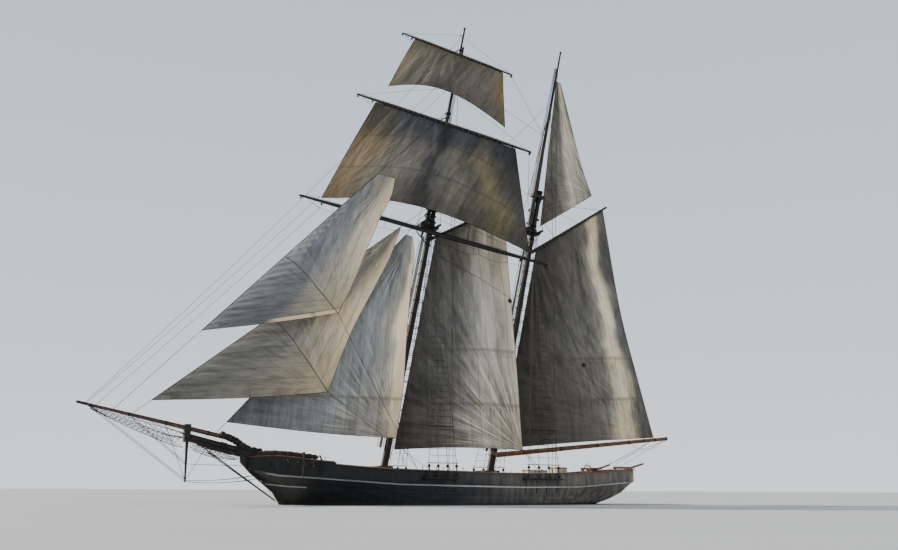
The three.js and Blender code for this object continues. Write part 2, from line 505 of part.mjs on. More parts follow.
// point carried by a yard: along it (port positive), ahead of it, up from it
function onYard(m, y, off, along, ahead = 0, up = 0) {
  const v = P(ahead, along, up)
  v.applyAxisAngle(P(1, 0, 0), rad(-y.cant))
  v.applyAxisAngle(P(0, 0, 1), rad(y.brace)).applyAxisAngle(P(0, 1, 0), -rad(m.rake))
  return v.add(onMast(m, y.s, off + y.ahead))
}

// ---- gaffs and boom --------------------------------------------------------------------------
// spar with jaws round the mast; swings on the mast's axis
function sparFrom(m, s, swing, rise, length, r0, r1) {
  // rise is above the plane square to the mast, swing is to port of dead aft
  const a = rad(swing), b = rad(rise)
  const dir = P(-Math.cos(b) * Math.cos(a), Math.cos(b) * Math.sin(a), Math.sin(b)).applyAxisAngle(P(0, 1, 0), -rad(m.rake))
  const start = onMast(m, s)
  const mr = mastRadiusAt(m, s)
  return { dir, start, mr, rise: b, at: (d) => start.clone().addScaledVector(dir, d), length, r0, r1, m, s,
    radius: (d) => lerp(r0, r1, d / length) }
}
const JAWS_HIGH = 220
function sparPiece(q) {
  const up = axisOf(q.m)
  const from = (q.mr + 10) / Math.cos(q.rise), jaws = q.s + (q.mr + 35) * Math.tan(q.rise)
  const r = mastRadiusAt(q.m, jaws - JAWS_HIGH / 2)
  const spar = bar([q.at(from), q.at(q.length)], [q.radius(from), q.radius(q.length)], 8, up)
  const outer = bar([P(0, 0, jaws - JAWS_HIGH / 2), P(0, 0, jaws + JAWS_HIGH / 2)], q.mr + 70, 12, P(1, 0, 0))
  return carve(join(placed(q.m, outer), spar), placed(q.m, roundHole(r, 500).translate(0, 0, jaws)))
}
const foreGaff = sparFrom(FORE, 15350, 24, 37, 5600, 105, 65)
const mainGaff = sparFrom(MAIN, 15470, 14, 45, 6900, 120, 70)
const mainBoom = sparFrom(MAIN, 1830, 14, 17.6, 11900, 165, 110)
add('fore_gaff', sparPiece(foreGaff), SPAR)
add('main_gaff', sparPiece(mainGaff), SPAR)
add('main_boom', sparPiece(mainBoom), VARNISH, 0.35)

// ---- standing rigging --------------------------------------------------------------------------
// a side's lower shrouds, spread along the channel that holds them off the hull
function shrouds(m, hound, feet, k) {
  const lo = feet[0] - 250, hi = feet[feet.length - 1] + 250
  const xs = [lo, ...STATIONS.map((q) => q.x).filter((x) => x > lo && x < hi), hi]
  const chan = loft(xs.map((x) => {
    const yi = edgeY(x) + SEAT, yo = edgeY(x) + 330
    return [P(x, k * yi, 1455), P(x, k * yo, 1455), P(x, k * yo, 1535), P(x, k * yi, 1535)]
  }))
  const top = onMast(m, hound, 0, 0)
  const legs = feet.map((x, i) => {
    const a = P(x, k * (edgeY(x) + 260), 1495), b = P(top.x + (i - (feet.length - 1) / 2) * LEG_APART, k * 325, top.z)
    return bar([a, a.clone().lerp(b, 0.015), a.clone().lerp(b, 0.985), b], SHROUD_R, 6, P(1, 0, 0))
  })
  // the eyes lie on the trestletrees, round the masthead
  const eye = carve(placed(m, block(0, k * 255, hound, feet.length * LEG_APART + 20, 200, 100)), mastBar(m, SEAT))
  return join(chan, ...legs, eye)
}
const FORE_FEET = [2850, 2250, 1650, 1050], MAIN_FEET = [-3650, -4400, -5150, -5900]
for (const [name, k] of SIDES) {
  add(`fore_shrouds_${name}`, shrouds(FORE, FORE.doubling + 95 + 50 + SEAT, [...FORE_FEET].reverse(), k), ROPE)
  add(`main_shrouds_${name}`, shrouds(MAIN, MAIN.doubling + 95 + 50 + SEAT, [...MAIN_FEET].reverse(), k), ROPE)
}
// a stay's collar: round the masthead and topmast together, or the topmast alone
function stayCollar(m, at, both) {
  const round = (grow, h) => {
    const top = bar([P(m.topOff, 0, at - h), P(m.topOff, 0, at + h)], TOPMAST.r0 + grow, 12, P(1, 0, 0))
    if (!both) return top
    return join(top, bar([P(0, 0, at - h), P(0, 0, at + h)], m.r1 + grow, 12, P(1, 0, 0)),
      block(m.topOff / 2, 0, at, m.topOff, 2 * (TOPMAST.r0 + grow) - 20, 2 * h))
  }
  return placed(m, carve(round(60, 35), round(SEAT + 6, 80)))
}
const STAYS = {
  fore: { x: 13900, s: 17020, both: true },
  jib: { x: 18330, s: 17400, both: true },
  outer: { x: 19300, s: 24360, both: false },
}
for (const q of Object.values(STAYS)) {
  // the foot's lower corner stands on the jibboom's upper edge
  q.b = onMast(FORE, q.s, FORE.topOff + TOPMAST.r0 + 35)
  q.a = P(q.x, 0, jibboomTop(q.x))
  const d = P(0, 0, 0).subVectors(q.b, q.a).normalize(), half = STAY_R * Math.sin(Math.PI / 3)
  q.a.z += half * (Math.abs(d.x) - JIBBOOM_SLOPE * d.z) + SEAT
}
const stayBar = (q) => join(bar([q.a, q.a.clone().lerp(q.b, 0.985), q.b], STAY_R, 6, P(0, 1, 0)), stayCollar(FORE, q.s, q.both))
add('forestay', stayBar(STAYS.fore), ROPE)
add('jib_stay', stayBar(STAYS.jib), ROPE)
add('outer_jib_stay', stayBar(STAYS.outer), ROPE)

// ---- sails --------------------------------------------------------------------------------------
// luff line just abaft a stay, between two heights
function luffOn(s, z0, z1, n = 6, off = STAY_R * Math.sin(Math.PI / 3) + SEAT) {
  const d = P(0, 0, 0).subVectors(s.b, s.a), back = P(-d.z, 0, d.x).normalize()
  if (back.z > 0) back.negate()
  return Array.from({ length: n }, (_, i) => {
    const z = lerp(z0, z1, i / (n - 1)), t = (z - s.a.z) / d.z
    return s.a.clone().addScaledVector(d, t).addScaledVector(back, off)
  })
}
add('outer_jib', sail({
  foreNormal: P(0, -1, 0), fore: luffOn(STAYS.outer, 9400, 20250),
  aft: curve([P(7920, 2200, 10630), P(7000, 1850, 12380), P(5800, 1250, 15220), P(4820, 700, 17310), P(4040, 330, 18780), P(3680, 90, 20080)], 8),
  belly: 650, arch: P(0, 0, -150),
}), CLOTH)
add('jib', sail({
  foreNormal: P(0, -1, 0), fore: luffOn(STAYS.jib, 5450, 16950),
  aft: curve([P(8290, 2000, 6140), P(6950, 1600, 9530), P(5200, 1000, 12790), P(4150, 600, 14740), P(3300, 100, 16700)], 8),
  belly: 620, arch: P(0, 0, -150),
}), CLOTH)
add('fore_staysail', sail({
  foreNormal: P(0, -1, 0), fore: luffOn(STAYS.fore, 4430, 16500),
  aft: curve([P(4210, 2250, 3710), P(3660, 1850, 6740), P(3200, 1200, 10060), P(2800, 800, 13080), P(2400, 300, 15300), P(2450, 60, 16400)], 8),
  belly: 560, arch: P(0, 0, -150),
}), CLOTH)

// head corner of a gaff sail: hung under the spar, clear of it
const headUnder = (g, d) => {
  const side = P(0, 0, 0).crossVectors(g.dir, axisOf(g.m)).normalize()
  const down = P(0, 0, 0).crossVectors(g.dir, side).normalize()
  if (down.z > 0) down.negate()
  return g.at(d).addScaledVector(down, g.radius(d) + SEAT)
}
function setUnder(m, g, opt) {
  const thr = headUnder(g, opt.throat), peak = headUnder(g, opt.peakAt)
  const fore = [onMast(m, opt.luff0, -opt.gap, 0), thr]
  const aft = curve([opt.clew, ...opt.leech, peak], 9)
  const headNormal = P(0, 0, 0).crossVectors(axisOf(m), g.dir).normalize()
  return sail({ fore, aft, belly: opt.belly, arch: opt.arch, nu: 11, nv: 13, headNormal })
}
add('foresail', setUnder(FORE, foreGaff, {
  luff0: 2050, gap: 420, throat: 480, peakAt: 5400, clew: P(-3700, 2950, 3190),
  leech: [P(-3450, 2850, 7700), P(-3200, 2650, 12210)], belly: 420, arch: P(0, 0, 120),
}), CLOTH)
add('mainsail', setUnder(MAIN, mainGaff, {
  luff0: 2350, gap: 430, throat: 500, peakAt: 6500, clew: mainBoom.at(10900).addScaledVector(axisOf(MAIN), 160),
  leech: [P(-13000, 2400, 7600), P(-11950, 2150, 12270)], belly: 520, arch: P(0, 0, 60),
}), CLOTH)

// square sails, hung under their yards and sheeted to the yard below; head is how far along
// the yard they are bent to port and to starboard
function squareSail(y, head, clews, { belly, arch }) {
  const drop = y.r + SEAT
  const top = (k) => onYard(FORE, y, FORE.topOff, k > 0 ? head[0] : -head[1], 0, -drop)
  const fore = P(0, 0, 0).subVectors(onYard(FORE, y, FORE.topOff, 0, 1000), onYard(FORE, y, FORE.topOff, 0)).normalize()
  return sail({ fore: curve([clews[0], clews[0].clone().lerp(top(1), 0.5).addScaledVector(fore, 80), top(1)], 7),
    aft: curve([clews[1], clews[1].clone().lerp(top(-1), 0.5).addScaledVector(fore, 80), top(-1)], 7),
    belly, side: fore, arch, nu: 13, nv: 11, deep: 0.5, headNormal: fore.clone().negate() })
}
add('fore_topsail', squareSail(YARDS.topsail, [5600, 5050],
  [onYard(FORE, YARDS.course, 0, 7447, 0, 458), onYard(FORE, YARDS.course, 0, -7221, 0, 227)],
  { belly: 700, arch: P(0, 0, 900) }), CLOTH)
add('topgallant_sail', squareSail(YARDS.topgallant, [3800, 3330],
  [onYard(FORE, YARDS.topgallant, FORE.topOff, 5965, 0, -3602), onYard(FORE, YARDS.topgallant, FORE.topOff, -3094, 0, -4042)],
  { belly: 420, arch: P(0, 0, 950) }), CLOTH)

// the gaff topsail's head is hauled up close abaft the topmast
const TOPSAIL_HEAD = 28850
const headAhead = MAIN.topOff - topRadiusAt(MAIN, TOPSAIL_HEAD - 20, MAIN_TOPMAST_END) - SEAT
add('main_gaff_topsail', sail({
  foreNormal: P(0, -1, 0),
  fore: [onMast(MAIN, 17700, -480), onMast(MAIN, TOPSAIL_HEAD, headAhead)],
  aft: curve([P(-10600, 1150, 20740), P(-10050, 850, 22900), P(-9500, 450, 26200), onMast(MAIN, 28800, MAIN.topOff - 440, 30)], 8),
  belly: 330, arch: P(0, 0, 0),
}), CLOTH)

export default group
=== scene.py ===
"""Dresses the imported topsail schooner: painted hull, deck, spars, canvas and rigging.

Metres, +X towards the bow, +Y to port, +Z up, origin amidships at the waterline.
"""

from __future__ import annotations

import logging
import math
import random
from contextlib import contextmanager
from dataclasses import dataclass, field
from enum import Enum
from itertools import product
from typing import Iterable, Iterator, Sequence

import bmesh
import bpy
import numpy as np
from bpy.types import ID, Material, Mesh, Node, NodeSocket, NodeTree, Object
from mathutils import Matrix, Vector
from mathutils.bvhtree import BVHTree


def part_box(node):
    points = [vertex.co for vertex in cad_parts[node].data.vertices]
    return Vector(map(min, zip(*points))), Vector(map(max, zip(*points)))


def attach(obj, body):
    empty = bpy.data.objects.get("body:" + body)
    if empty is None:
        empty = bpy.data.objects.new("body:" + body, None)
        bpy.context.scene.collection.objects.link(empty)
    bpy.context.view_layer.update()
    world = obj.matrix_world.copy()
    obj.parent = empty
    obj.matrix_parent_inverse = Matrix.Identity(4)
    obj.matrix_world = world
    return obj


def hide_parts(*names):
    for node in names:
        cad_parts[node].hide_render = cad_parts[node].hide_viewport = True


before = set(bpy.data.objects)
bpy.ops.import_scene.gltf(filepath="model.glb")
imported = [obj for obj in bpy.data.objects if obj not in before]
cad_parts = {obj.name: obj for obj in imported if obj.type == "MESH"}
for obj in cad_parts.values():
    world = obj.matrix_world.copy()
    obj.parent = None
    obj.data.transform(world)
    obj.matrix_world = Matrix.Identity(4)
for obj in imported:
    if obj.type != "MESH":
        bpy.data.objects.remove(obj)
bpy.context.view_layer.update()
LOG = logging.getLogger("topsail_schooner")

Point = Sequence[float]
Line = Sequence[Point]
Stops = tuple[tuple[float, str], ...]
Painted = tuple["Signal", "Signal | None"]
AHEAD, PORT, UP = (Vector(way) for way in ((1, 0, 0), (0, 1, 0), (0, 0, 1)))
SIDES = (1, -1)  # port and starboard
SAIL_MAPS = ("cloth", "place", "share", "fan")


def linear(hex_colour: str) -> tuple[float, float, float, float]:
    """Turns an sRGB hex colour to the linear red, green, blue and full alpha that a shader wants."""
    parts = [int(hex_colour[i : i + 2], 16) / 255 for i in (1, 3, 5)]
    r, g, b = (c / 12.92 if c <= 0.04045 else ((c + 0.055) / 1.055) ** 2.4 for c in parts)
    return r, g, b, 1.0


def put(tree: NodeTree, kind: str, feeds: dict | None = None, **settings: object) -> Node:
    """Adds one node with its settings and what feeds its inputs.

    Args:
        tree: the node tree to add to.
        kind: the node's bl_idname.
        feeds: input socket (name or index) to its value, or to the Signal that drives it.
        settings: attributes set on the node itself.

    Returns:
        The new node.
    """
    made = tree.nodes.new(kind)
    for name, value in settings.items():
        setattr(made, name, value)
    for name, value in (feeds or {}).items():
        if isinstance(value, Signal):
            tree.links.new(value.socket, made.inputs[name])
        else:
            made.inputs[name].default_value = value
    return made


def wire(
    tree: NodeTree, kind: str, feeds: dict | None = None, out: int | str = 0, **settings: object
) -> Signal:
    """Adds one node, as put does, and gives one of its outputs."""
    return Signal(tree, put(tree, kind, feeds, **settings).outputs[out])


@dataclass(frozen=True)
class Signal:
    """A node's output, which can be used in sums like a number: each operator adds a Math node."""

    tree: NodeTree
    socket: NodeSocket

    def math(self, how: str, *others: Signal | float) -> Signal:
        """The result of a Math node that takes this signal first."""
        return wire(self.tree, "ShaderNodeMath", dict(enumerate((self, *others))), operation=how)

    def __add__(self, other: Signal | float) -> Signal:
        """This and another."""
        return self.math("ADD", other)

    def __sub__(self, other: Signal | float) -> Signal:
        """This less another."""
        return self.math("SUBTRACT", other)

    def __rsub__(self, other: float) -> Signal:
        """A number less this."""
        return wire(self.tree, "ShaderNodeMath", {0: other, 1: self}, operation="SUBTRACT")

    def __mul__(self, other: Signal | float) -> Signal:
        """This times another."""
        return self.math("MULTIPLY", other)

    def __truediv__(self, other: float) -> Signal:
        """This over a number."""
        return self.math("DIVIDE", other)

    def __abs__(self) -> Signal:
        """This without its sign."""
        return self.math("ABSOLUTE")

    def parts(self) -> list[Signal]:
        """The three components of a vector."""
        made = put(self.tree, "ShaderNodeSeparateXYZ", {0: self})
        return [Signal(self.tree, socket) for socket in made.outputs]

    def window(self, start: float, end: float, low: float = 0.0, high: float = 1.0) -> Signal:
        """Goes from low to high while this goes from start to end, and is held flat past both."""
        return wire(self.tree, "ShaderNodeMapRange", {0: self, 1: start, 2: end, 3: low, 4: high})

    def ramp(self, *stops: tuple[float, str]) -> Signal:
        """A colour ramp over stops of position and sRGB hex, low to high."""
        made = put(self.tree, "ShaderNodeValToRGB", {0: self})
        elements = made.color_ramp.elements
        while len(elements) < len(stops):
            elements.new(0.5)
        for element, (at, colour) in zip(elements, stops):
            element.position = at
            element.color = linear(colour)
        return Signal(self.tree, made.outputs[0])

    def noise(
        self, size_mm: float, detail: float = 4, rough: float = 0.55, long: Point = (1, 1, 1)
    ) -> Signal:
        """Noise of 0.3 to 0.7 over coordinates in metres, its features so big and so much longer each way."""
        scale = tuple(1000.0 / size_mm / share for share in long)
        scaled = wire(self.tree, "ShaderNodeMapping", {0: self, "Scale": scale})
        feeds = {"Vector": scaled, "Scale": 1.0, "Detail": detail, "Roughness": rough}
        return wire(self.tree, "ShaderNodeTexNoise", feeds)


def blend(factor: Signal | float, a: Signal | str, b: Signal | str, how: str = "MIX") -> Signal:
    """Mixes two colours.

    Args:
        factor: share of the second colour, held within 0 and 1.
        a: first colour, a signal or an sRGB hex string.
        b: second colour, likewise.
        how: the blend type.

    Returns:
        The mixed colour.
    """
    tree = next(given.tree for given in (factor, a, b) if isinstance(given, Signal))
    first, second = (linear(colour) if isinstance(colour, str) else colour for colour in (a, b))
    feeds = {0: factor, 6: first, 7: second}
    return wire(tree, "ShaderNodeMix", feeds, 2, data_type="RGBA", blend_type=how, clamp_factor=True)


@dataclass(frozen=True)
class Finish:
    """What every finish has: a plain name and how the shader answers light."""

    name: str
    roughness: float = 0.6
    metallic: float = 0.0
    coat: float = 0.0

    def paint(self, where: Signal) -> Painted:
        """Colour, and height in metres or None for smooth, at Object coordinates in metres."""
        raise NotImplementedError

    def make(self) -> Material:
        """Builds the material, once for each name."""
        known = bpy.data.materials.get(self.name)
        if known is not None:
            return known
        material = bpy.data.materials.new(self.name)
        material.use_nodes = True
        tree = material.node_tree
        tree.nodes.clear()
        colour, height = self.paint(wire(tree, "ShaderNodeTexCoord", out="Object"))
        feeds = {"Base Color": colour, "Roughness": self.roughness, "Metallic": self.metallic}
        if self.coat:
            feeds |= {"Coat Weight": self.coat, "Coat Roughness": 0.12}
        if height is not None:
            bump = {"Strength": 0.6, "Distance": 1.0, "Height": height}
            feeds["Normal"] = wire(tree, "ShaderNodeBump", bump)
        surface = self.close(wire(tree, "ShaderNodeBsdfPrincipled", feeds), colour)
        put(tree, "ShaderNodeOutputMaterial", {"Surface": surface})
        return material

    def close(self, shader: Signal, colour: Signal) -> Signal:
        """What the material shows: the plain shader, unless a finish adds to it."""
        return shader


@dataclass(frozen=True)
class HullPaint(Finish):
    """Black oil paint on carvel planking.

    The eye sees long plank lines that follow the sheer, a soft sheen, dull green growth at the waterline and
    painted light aft.
    """

    strake_mm: float = 165.0
    sheer_curve: float = 0.0039
    sheer_low_x: float = -3.0

    def paint(self, where: Signal) -> Painted:
        """Paint, growth and plank seams."""
        x, _, z = where.parts()
        away = x - self.sheer_low_x
        plank = ((z - away * away * self.sheer_curve) / (self.strake_mm / 1000)).math("FRACT")
        seam = ((0.5 - abs(plank - 0.5)) * 12.0).math("SMOOTH_MIN", 1.0, 0.2)
        broad = where.noise(1900, 5, 0.6, (2.2, 2.2, 0.8))
        runs = where.noise(260, 6, 0.62, (1, 1, 7))
        old = broad.ramp((0.3, "#060607"), (0.5, "#0b0b0c"), (0.62, "#131314"), (0.78, "#1f1e1d"))
        dry = blend((runs - 0.52) * 3.2, old, "#2f2d2a")
        dry = blend((1.0 - seam) * 0.75, dry, "#08080a")
        # painted light and reflection: the after half is painted a lighter brown grey, as sunlit weathered
        # paint reflecting the water, while the fore part stays black as in the sails' shade
        aft = (x + (broad - 0.5) * 9.0).window(2.5, -7.5, 0.0, 0.86)
        dry = blend(aft, dry, runs.ramp((0.3, "#4b4640"), (0.5, "#7c7265"), (0.7, "#9c907f")))
        # below the boot line: dull anti-fouling, with weed where it is wet
        wet = (z + (broad - 0.5) * 0.25).window(0.2, 0.08)
        weed = where.noise(120, 5).ramp((0.35, "#1c1a12"), (0.55, "#33301d"), (0.7, "#544b2c"))
        under = blend(z.window(-0.1, -0.7), weed, "#2e1310")
        return blend(wet, dry, under), seam * 0.006


@dataclass(frozen=True)
class StripePaint(Finish):
    """White oil paint on a moulding, chalky and rubbed, with runs of grime from above."""

    def paint(self, where: Signal) -> Painted:
        """Chalky white with grey runs, and painted shade that greys it forward, where the sails shade the
        bow.
        """
        base = where.noise(700).ramp((0.3, "#a9aaa6"), (0.55, "#cfd0cb"), (0.8, "#dcdcd6"))
        # painted shade: the stripe is greyed forward, where the sails shade the bow
        base = blend(where.parts()[0].window(0.5, 3.5, 0.0, 0.7), base, "#6d6a65")
        return blend((where.noise(140, 5, 0.6, (1, 1, 3)) - 0.5) * 3.0, base, "#6f6d66"), None


@dataclass(frozen=True)
class LaidPlanks(Finish):
    """Scrubbed softwood deck planking: silvery tan boards with black caulked seams."""

    plank_mm: float = 110.0
    length_mm: float = 5200.0

    def paint(self, where: Signal) -> Painted:
        """Boards by a brick pattern, grain along the ship."""
        feeds = {"Vector": where, "Color1": linear("#a5895f"), "Color2": linear("#8d7350"), "Scale": 1.0}
        feeds |= {"Mortar": linear("#1d1814"), "Mortar Size": 0.006, "Mortar Smooth": 0.2}
        feeds |= {"Brick Width": self.length_mm / 1000, "Row Height": self.plank_mm / 1000}
        made = put(where.tree, "ShaderNodeTexBrick", feeds, offset=0.37)
        boards, seams = (Signal(where.tree, socket) for socket in made.outputs)
        grain = where.noise(16, 5, 0.6, (30, 1, 1)).ramp((0.35, "#7d6242"), (0.6, "#bfa57c"))
        shade = blend(0.55, boards, grain, "SOFT_LIGHT")
        return blend(where.noise(1400) * 0.5, shade, "#8d857a"), seams * -0.004


@dataclass(frozen=True)
class Timber(Finish):
    """Worked timber, oiled, stained or varnished: grain along one way, paler where rope has rubbed it."""

    dark: str = "#2a1a10"
    light: str = "#6b4526"
    along: Point = (12, 1, 1)
    worn: str = "#8d7a62"
    wear: float = 0.25

    def paint(self, where: Signal) -> Painted:
        """Grain, patches and worn places."""
        grain = where.noise(34, 6, 0.65, self.along)
        body = blend(where.noise(900) * 0.5, grain.ramp((0.32, self.dark), (0.68, self.light)), self.dark)
        rubbed = (where.noise(330, 6, 0.7) - 0.55) * (8.0 * self.wear)
        return blend(rubbed, body, self.worn), grain * 0.003


@dataclass(frozen=True)
class HousePaint(Finish):
    """Off-white gloss on the deck house and boards, yellowed, with faint board lines."""

    def paint(self, where: Signal) -> Painted:
        """Yellowed paint with board joints."""
        feeds = {"Vector": where, "Scale": 3.3, "Distortion": 0.0}
        board = wire(where.tree, "ShaderNodeTexWave", feeds, 1, bands_direction="X", wave_profile="SAW")
        joint = board.ramp((0.0, "#5f594d"), (0.05, "#c9c3b2"), (1.0, "#c9c3b2"))
        return blend(where.noise(500, 5) * 0.55, joint, "#a89c80"), None


@dataclass(frozen=True)
class Cordage(Finish):
    """Laid rope, whose twist shows as a fine ripple.

    The eye sees tarred hemp as near black with brown glints, and manila as pale tan.
    """

    dark: str = "#100e0c"
    light: str = "#2c251e"
    lay_mm: float = 70.0

    def paint(self, where: Signal) -> Painted:
        """Twist drawn coarser than life so that it shows from the shore."""
        x, y, z = where.parts()
        twist = ((x + y + z) * (2 * math.pi * 1000 / self.lay_mm)).math("SINE")
        return where.noise(420).ramp((0.35, self.dark), (0.7, self.light)), twist * 0.0015


@dataclass(frozen=True)
class Ironwork(Finish):
    """Forged iron, painted black and rusting through at the edges."""

    def paint(self, where: Signal) -> Painted:
        """Black paint with rust patches."""
        spots = where.noise(90, 6, 0.7)
        return blend((spots - 0.56) * 7.0, "#1a1a1c", "#4a2616"), spots * 0.002


@dataclass(frozen=True)
class Plain(Finish):
    """A smooth finish of one hue with slight unevenness, for brass, glass and the studio floor."""

    colour: str = "#808080"
    other: str = "#8a8a8a"
    patch_mm: float = 400.0

    def paint(self, where: Signal) -> Painted:
        """Two near tones."""
        return where.noise(self.patch_mm, 3).ramp((0.35, self.colour), (0.65, self.other)), None


@dataclass(frozen=True)
class Canvas(Finish):
    """Weathered flax canvas.

    The eye sees 0.6 m cloths with thin seams, reef bands of a second thickness, creases that fan from the
    clew with painted light and shade on them, and bands of painted light and shade across the cloth: pale
    where the sun comes through it, grey or brown where it lies in shade.
    """

    roughness: float = 0.85
    cloth_m: float = 0.61
    bands: tuple[float, ...] = ()
    band_m: float = 0.2
    # the tones, luff to leech, carry painted light and shade with the cloth's own tone; the ends, foot to
    # head, carry painted shade along the topsail's head
    tones_with_painted_light: Stops = ()
    ends: Stops = ((0.0, "#e4e2dd"), (0.5, "#ffffff"), (1.0, "#f1ede2"))
    through: float = 0.55
    crease_mm: float = 250.0
    crease: float = 1.0
    mitre: float = 0.0
    sunlit_tabling: float = 0.0
    ridge: float = 0.0

    def paint(self, where: Signal) -> Painted:
        """Cloths, seams, tone and painted light and shade from the sail's own maps."""
        cloth, place, share, fan = (wire(where.tree, "ShaderNodeUVMap", uv_map=name) for name in SAIL_MAPS)
        turn = cloth.parts()[0] / self.cloth_m
        # the seams are some 40 mm wide
        seam = abs(turn.math("FRACT") - 0.5).window(0.455, 0.48)
        one = wire(where.tree, "ShaderNodeTexWhiteNoise", {"W": turn.math("FLOOR")}, noise_dimensions="1D")
        fold = fan.noise(self.crease_mm, 3, 0.5, (1, 9, 1))
        along, upward, _ = share.parts()
        tall = place.parts()[1]
        shift = (where.noise(4200) - 0.5) * 0.35
        # painted light and shade: tones across the sail from luff to leech, times ends from foot to head,
        # with the cloth's own tone mixed in
        base = blend(1.0, (along + shift).ramp(*self.tones_with_painted_light), (upward + shift).ramp(*self.ends), "MULTIPLY")
        value = (cloth.noise(260, 6, 0.66, (1, 5, 1)) - 0.5) * 0.75 + 0.46
        value = value + (one - 0.5) * 0.10 + (where.noise(130, 5, 0.7) - 0.5) * 0.25
        # painted light and shade of the creases: the fold pattern lightens and darkens the cloth's colour
        value = value + (fold - 0.5) * (0.44 * self.crease)
        shade = value.ramp((0.25, "#4c4a46"), (0.5, "#c2c2c2"), (0.75, "#ffffff"))
        base = blend(0.75, base, shade, "SOFT_LIGHT")
        mark = seam * 0.75
        for height in self.bands:
            band = abs(tall - height).window(self.band_m / 2 + 0.015, self.band_m / 2 - 0.015, 0.0, 0.6)
            mark = mark.math("MAXIMUM", band)
        angle, radius, _ = fan.parts()
        if self.ridge:
            # sun on the ridges of the folds, within some metres of the clew
            near = radius.window(7.5, 2.5, 0.0, self.ridge)
            lit = fan.noise(self.crease_mm * 0.7, 3, 0.5, (1, 14, 1)).window(0.52, 0.62)
            base = blend(near * lit * along.window(0.25, 0.6), base, "#fffaee")
        if self.sunlit_tabling:
            # the doubled foot catches the light abaft the middle of the sail
            abaft = along.window(0.42, 0.5, 0.0, 0.85)
            base = blend(tall.window(self.sunlit_tabling + 0.02, self.sunlit_tabling - 0.02) * abaft, base, "#fff3d6")
            # painted shadow: a dark line along the top of the lit strip, over the same after part
            edge = abs(tall - (self.sunlit_tabling + 0.05)).window(0.05, 0.02, 0.0, 1.2)
            mark = mark.math("MAXIMUM", edge * abaft)
        if self.mitre:
            # the seam where the two runs of cloth meet, at one angle about the clew
            line = (abs(angle / 6.0 - self.mitre) * radius).window(0.055, 0.02, 0.0, 1.4)
            mark = mark.math("MAXIMUM", line)
        weave = cloth.noise(46, 3, 0.6, (1, 3, 1))
        height = mark * 0.006 + weave * 0.004 + fold * (0.17 * self.crease)
        return blend(mark * 0.5, base, "#5d5446"), height

    def close(self, shader: Signal, colour: Signal) -> Signal:
        """Lets part of the light through the cloth."""
        pale = blend(0.16, colour, "#f6f8ff", "SCREEN")
        glow = wire(shader.tree, "ShaderNodeBsdfTranslucent", {"Color": pale})
        return wire(shader.tree, "ShaderNodeMixShader", {0: self.through, 1: shader, 2: glow})


@dataclass(frozen=True)
class Tarpaulin(Finish):
    """Tarred and painted canvas over stowed gear: near black, creased, grey on the ridges and darker in the
    hollows.
    """

    def paint(self, where: Signal) -> Painted:
        """Creases, grey on their ridges and darker in their hollows."""
        crease = where.noise(190, 5, 0.6, (2, 2, 1))
        return crease.ramp((0.35, "#0d0c0b"), (0.55, "#1f1b17"), (0.72, "#4a443b")), crease * 0.05


HULL_PAINT = HullPaint("black_paint_on_carvel_planking", roughness=0.62)
STRIPE = StripePaint("chalky_white_moulding_paint", roughness=0.55)
DECKING = LaidPlanks("scrubbed_deck_planking", roughness=0.8)
VARNISH = Timber(
    "varnished_hardwood_rail", 0.32, coat=0.5, dark="#3a1a0b", light="#9a5a2a", worn="#b98a55", wear=0.35
)
BOOM_OIL = Timber(
    "oiled_pine_boom", 0.55, coat=0.08, dark="#3f2413", light="#9a6c40", worn="#cdb184", wear=0.5
)
FITTING = Timber("oiled_deck_timber", roughness=0.6, dark="#2a190e", light="#6e4a2b", along=(2, 2, 10))
SPAR = Timber(
    "black_oiled_spar", dark="#0b0908", light="#1f1712", along=(1, 1, 12), worn="#3a2c20", wear=0.12
)
YARD = Timber("black_oiled_yard", dark="#0d0a08", light="#231a14", along=(8, 4, 1), worn="#3e2f22", wear=0.12)
JIBBOOM = Timber(
    "dark_varnished_jibboom", 0.4, coat=0.25, dark="#1c0c06", light="#5e2f15", worn="#a8703c", wear=0.4
)
HOUSE = HousePaint("yellowed_house_paint", roughness=0.5)
TARRED = Cordage("tarred_hemp", roughness=0.7)
MANILA = Cordage("manila_rope", roughness=0.85, dark="#6d5c40", light="#a8946c", lay_mm=60)
MANILA_DARK = Cordage("grimy_bolt_rope", roughness=0.8, dark="#3b3226", light="#5f5340", lay_mm=60)
TARPAULIN = Tarpaulin("tarred_canvas_cover", roughness=0.8)
IRON = Ironwork("painted_forged_iron", roughness=0.55, metallic=0.3)
BRASS = Plain("worn_brass", roughness=0.35, metallic=1.0, colour="#8f6d33", other="#a98847")
GLASS = Plain("dark_deck_glass", roughness=0.08, colour="#10151a", other="#18202a")
FLOOR = Plain("pale_studio_floor", roughness=0.75, colour="#c3c8cd", other="#c8cdd1", patch_mm=9000)


def turned(v: Vector, degrees: float, axis: str) -> Vector:
    """A vector turned about X, Y or Z."""
    return Matrix.Rotation(math.radians(degrees), 3, axis) @ v


def mirror(p: Point, k: int) -> Vector:
    """A port point, or with k of -1 its image to starboard."""
    return Vector((p[0], k * p[1], p[2]))


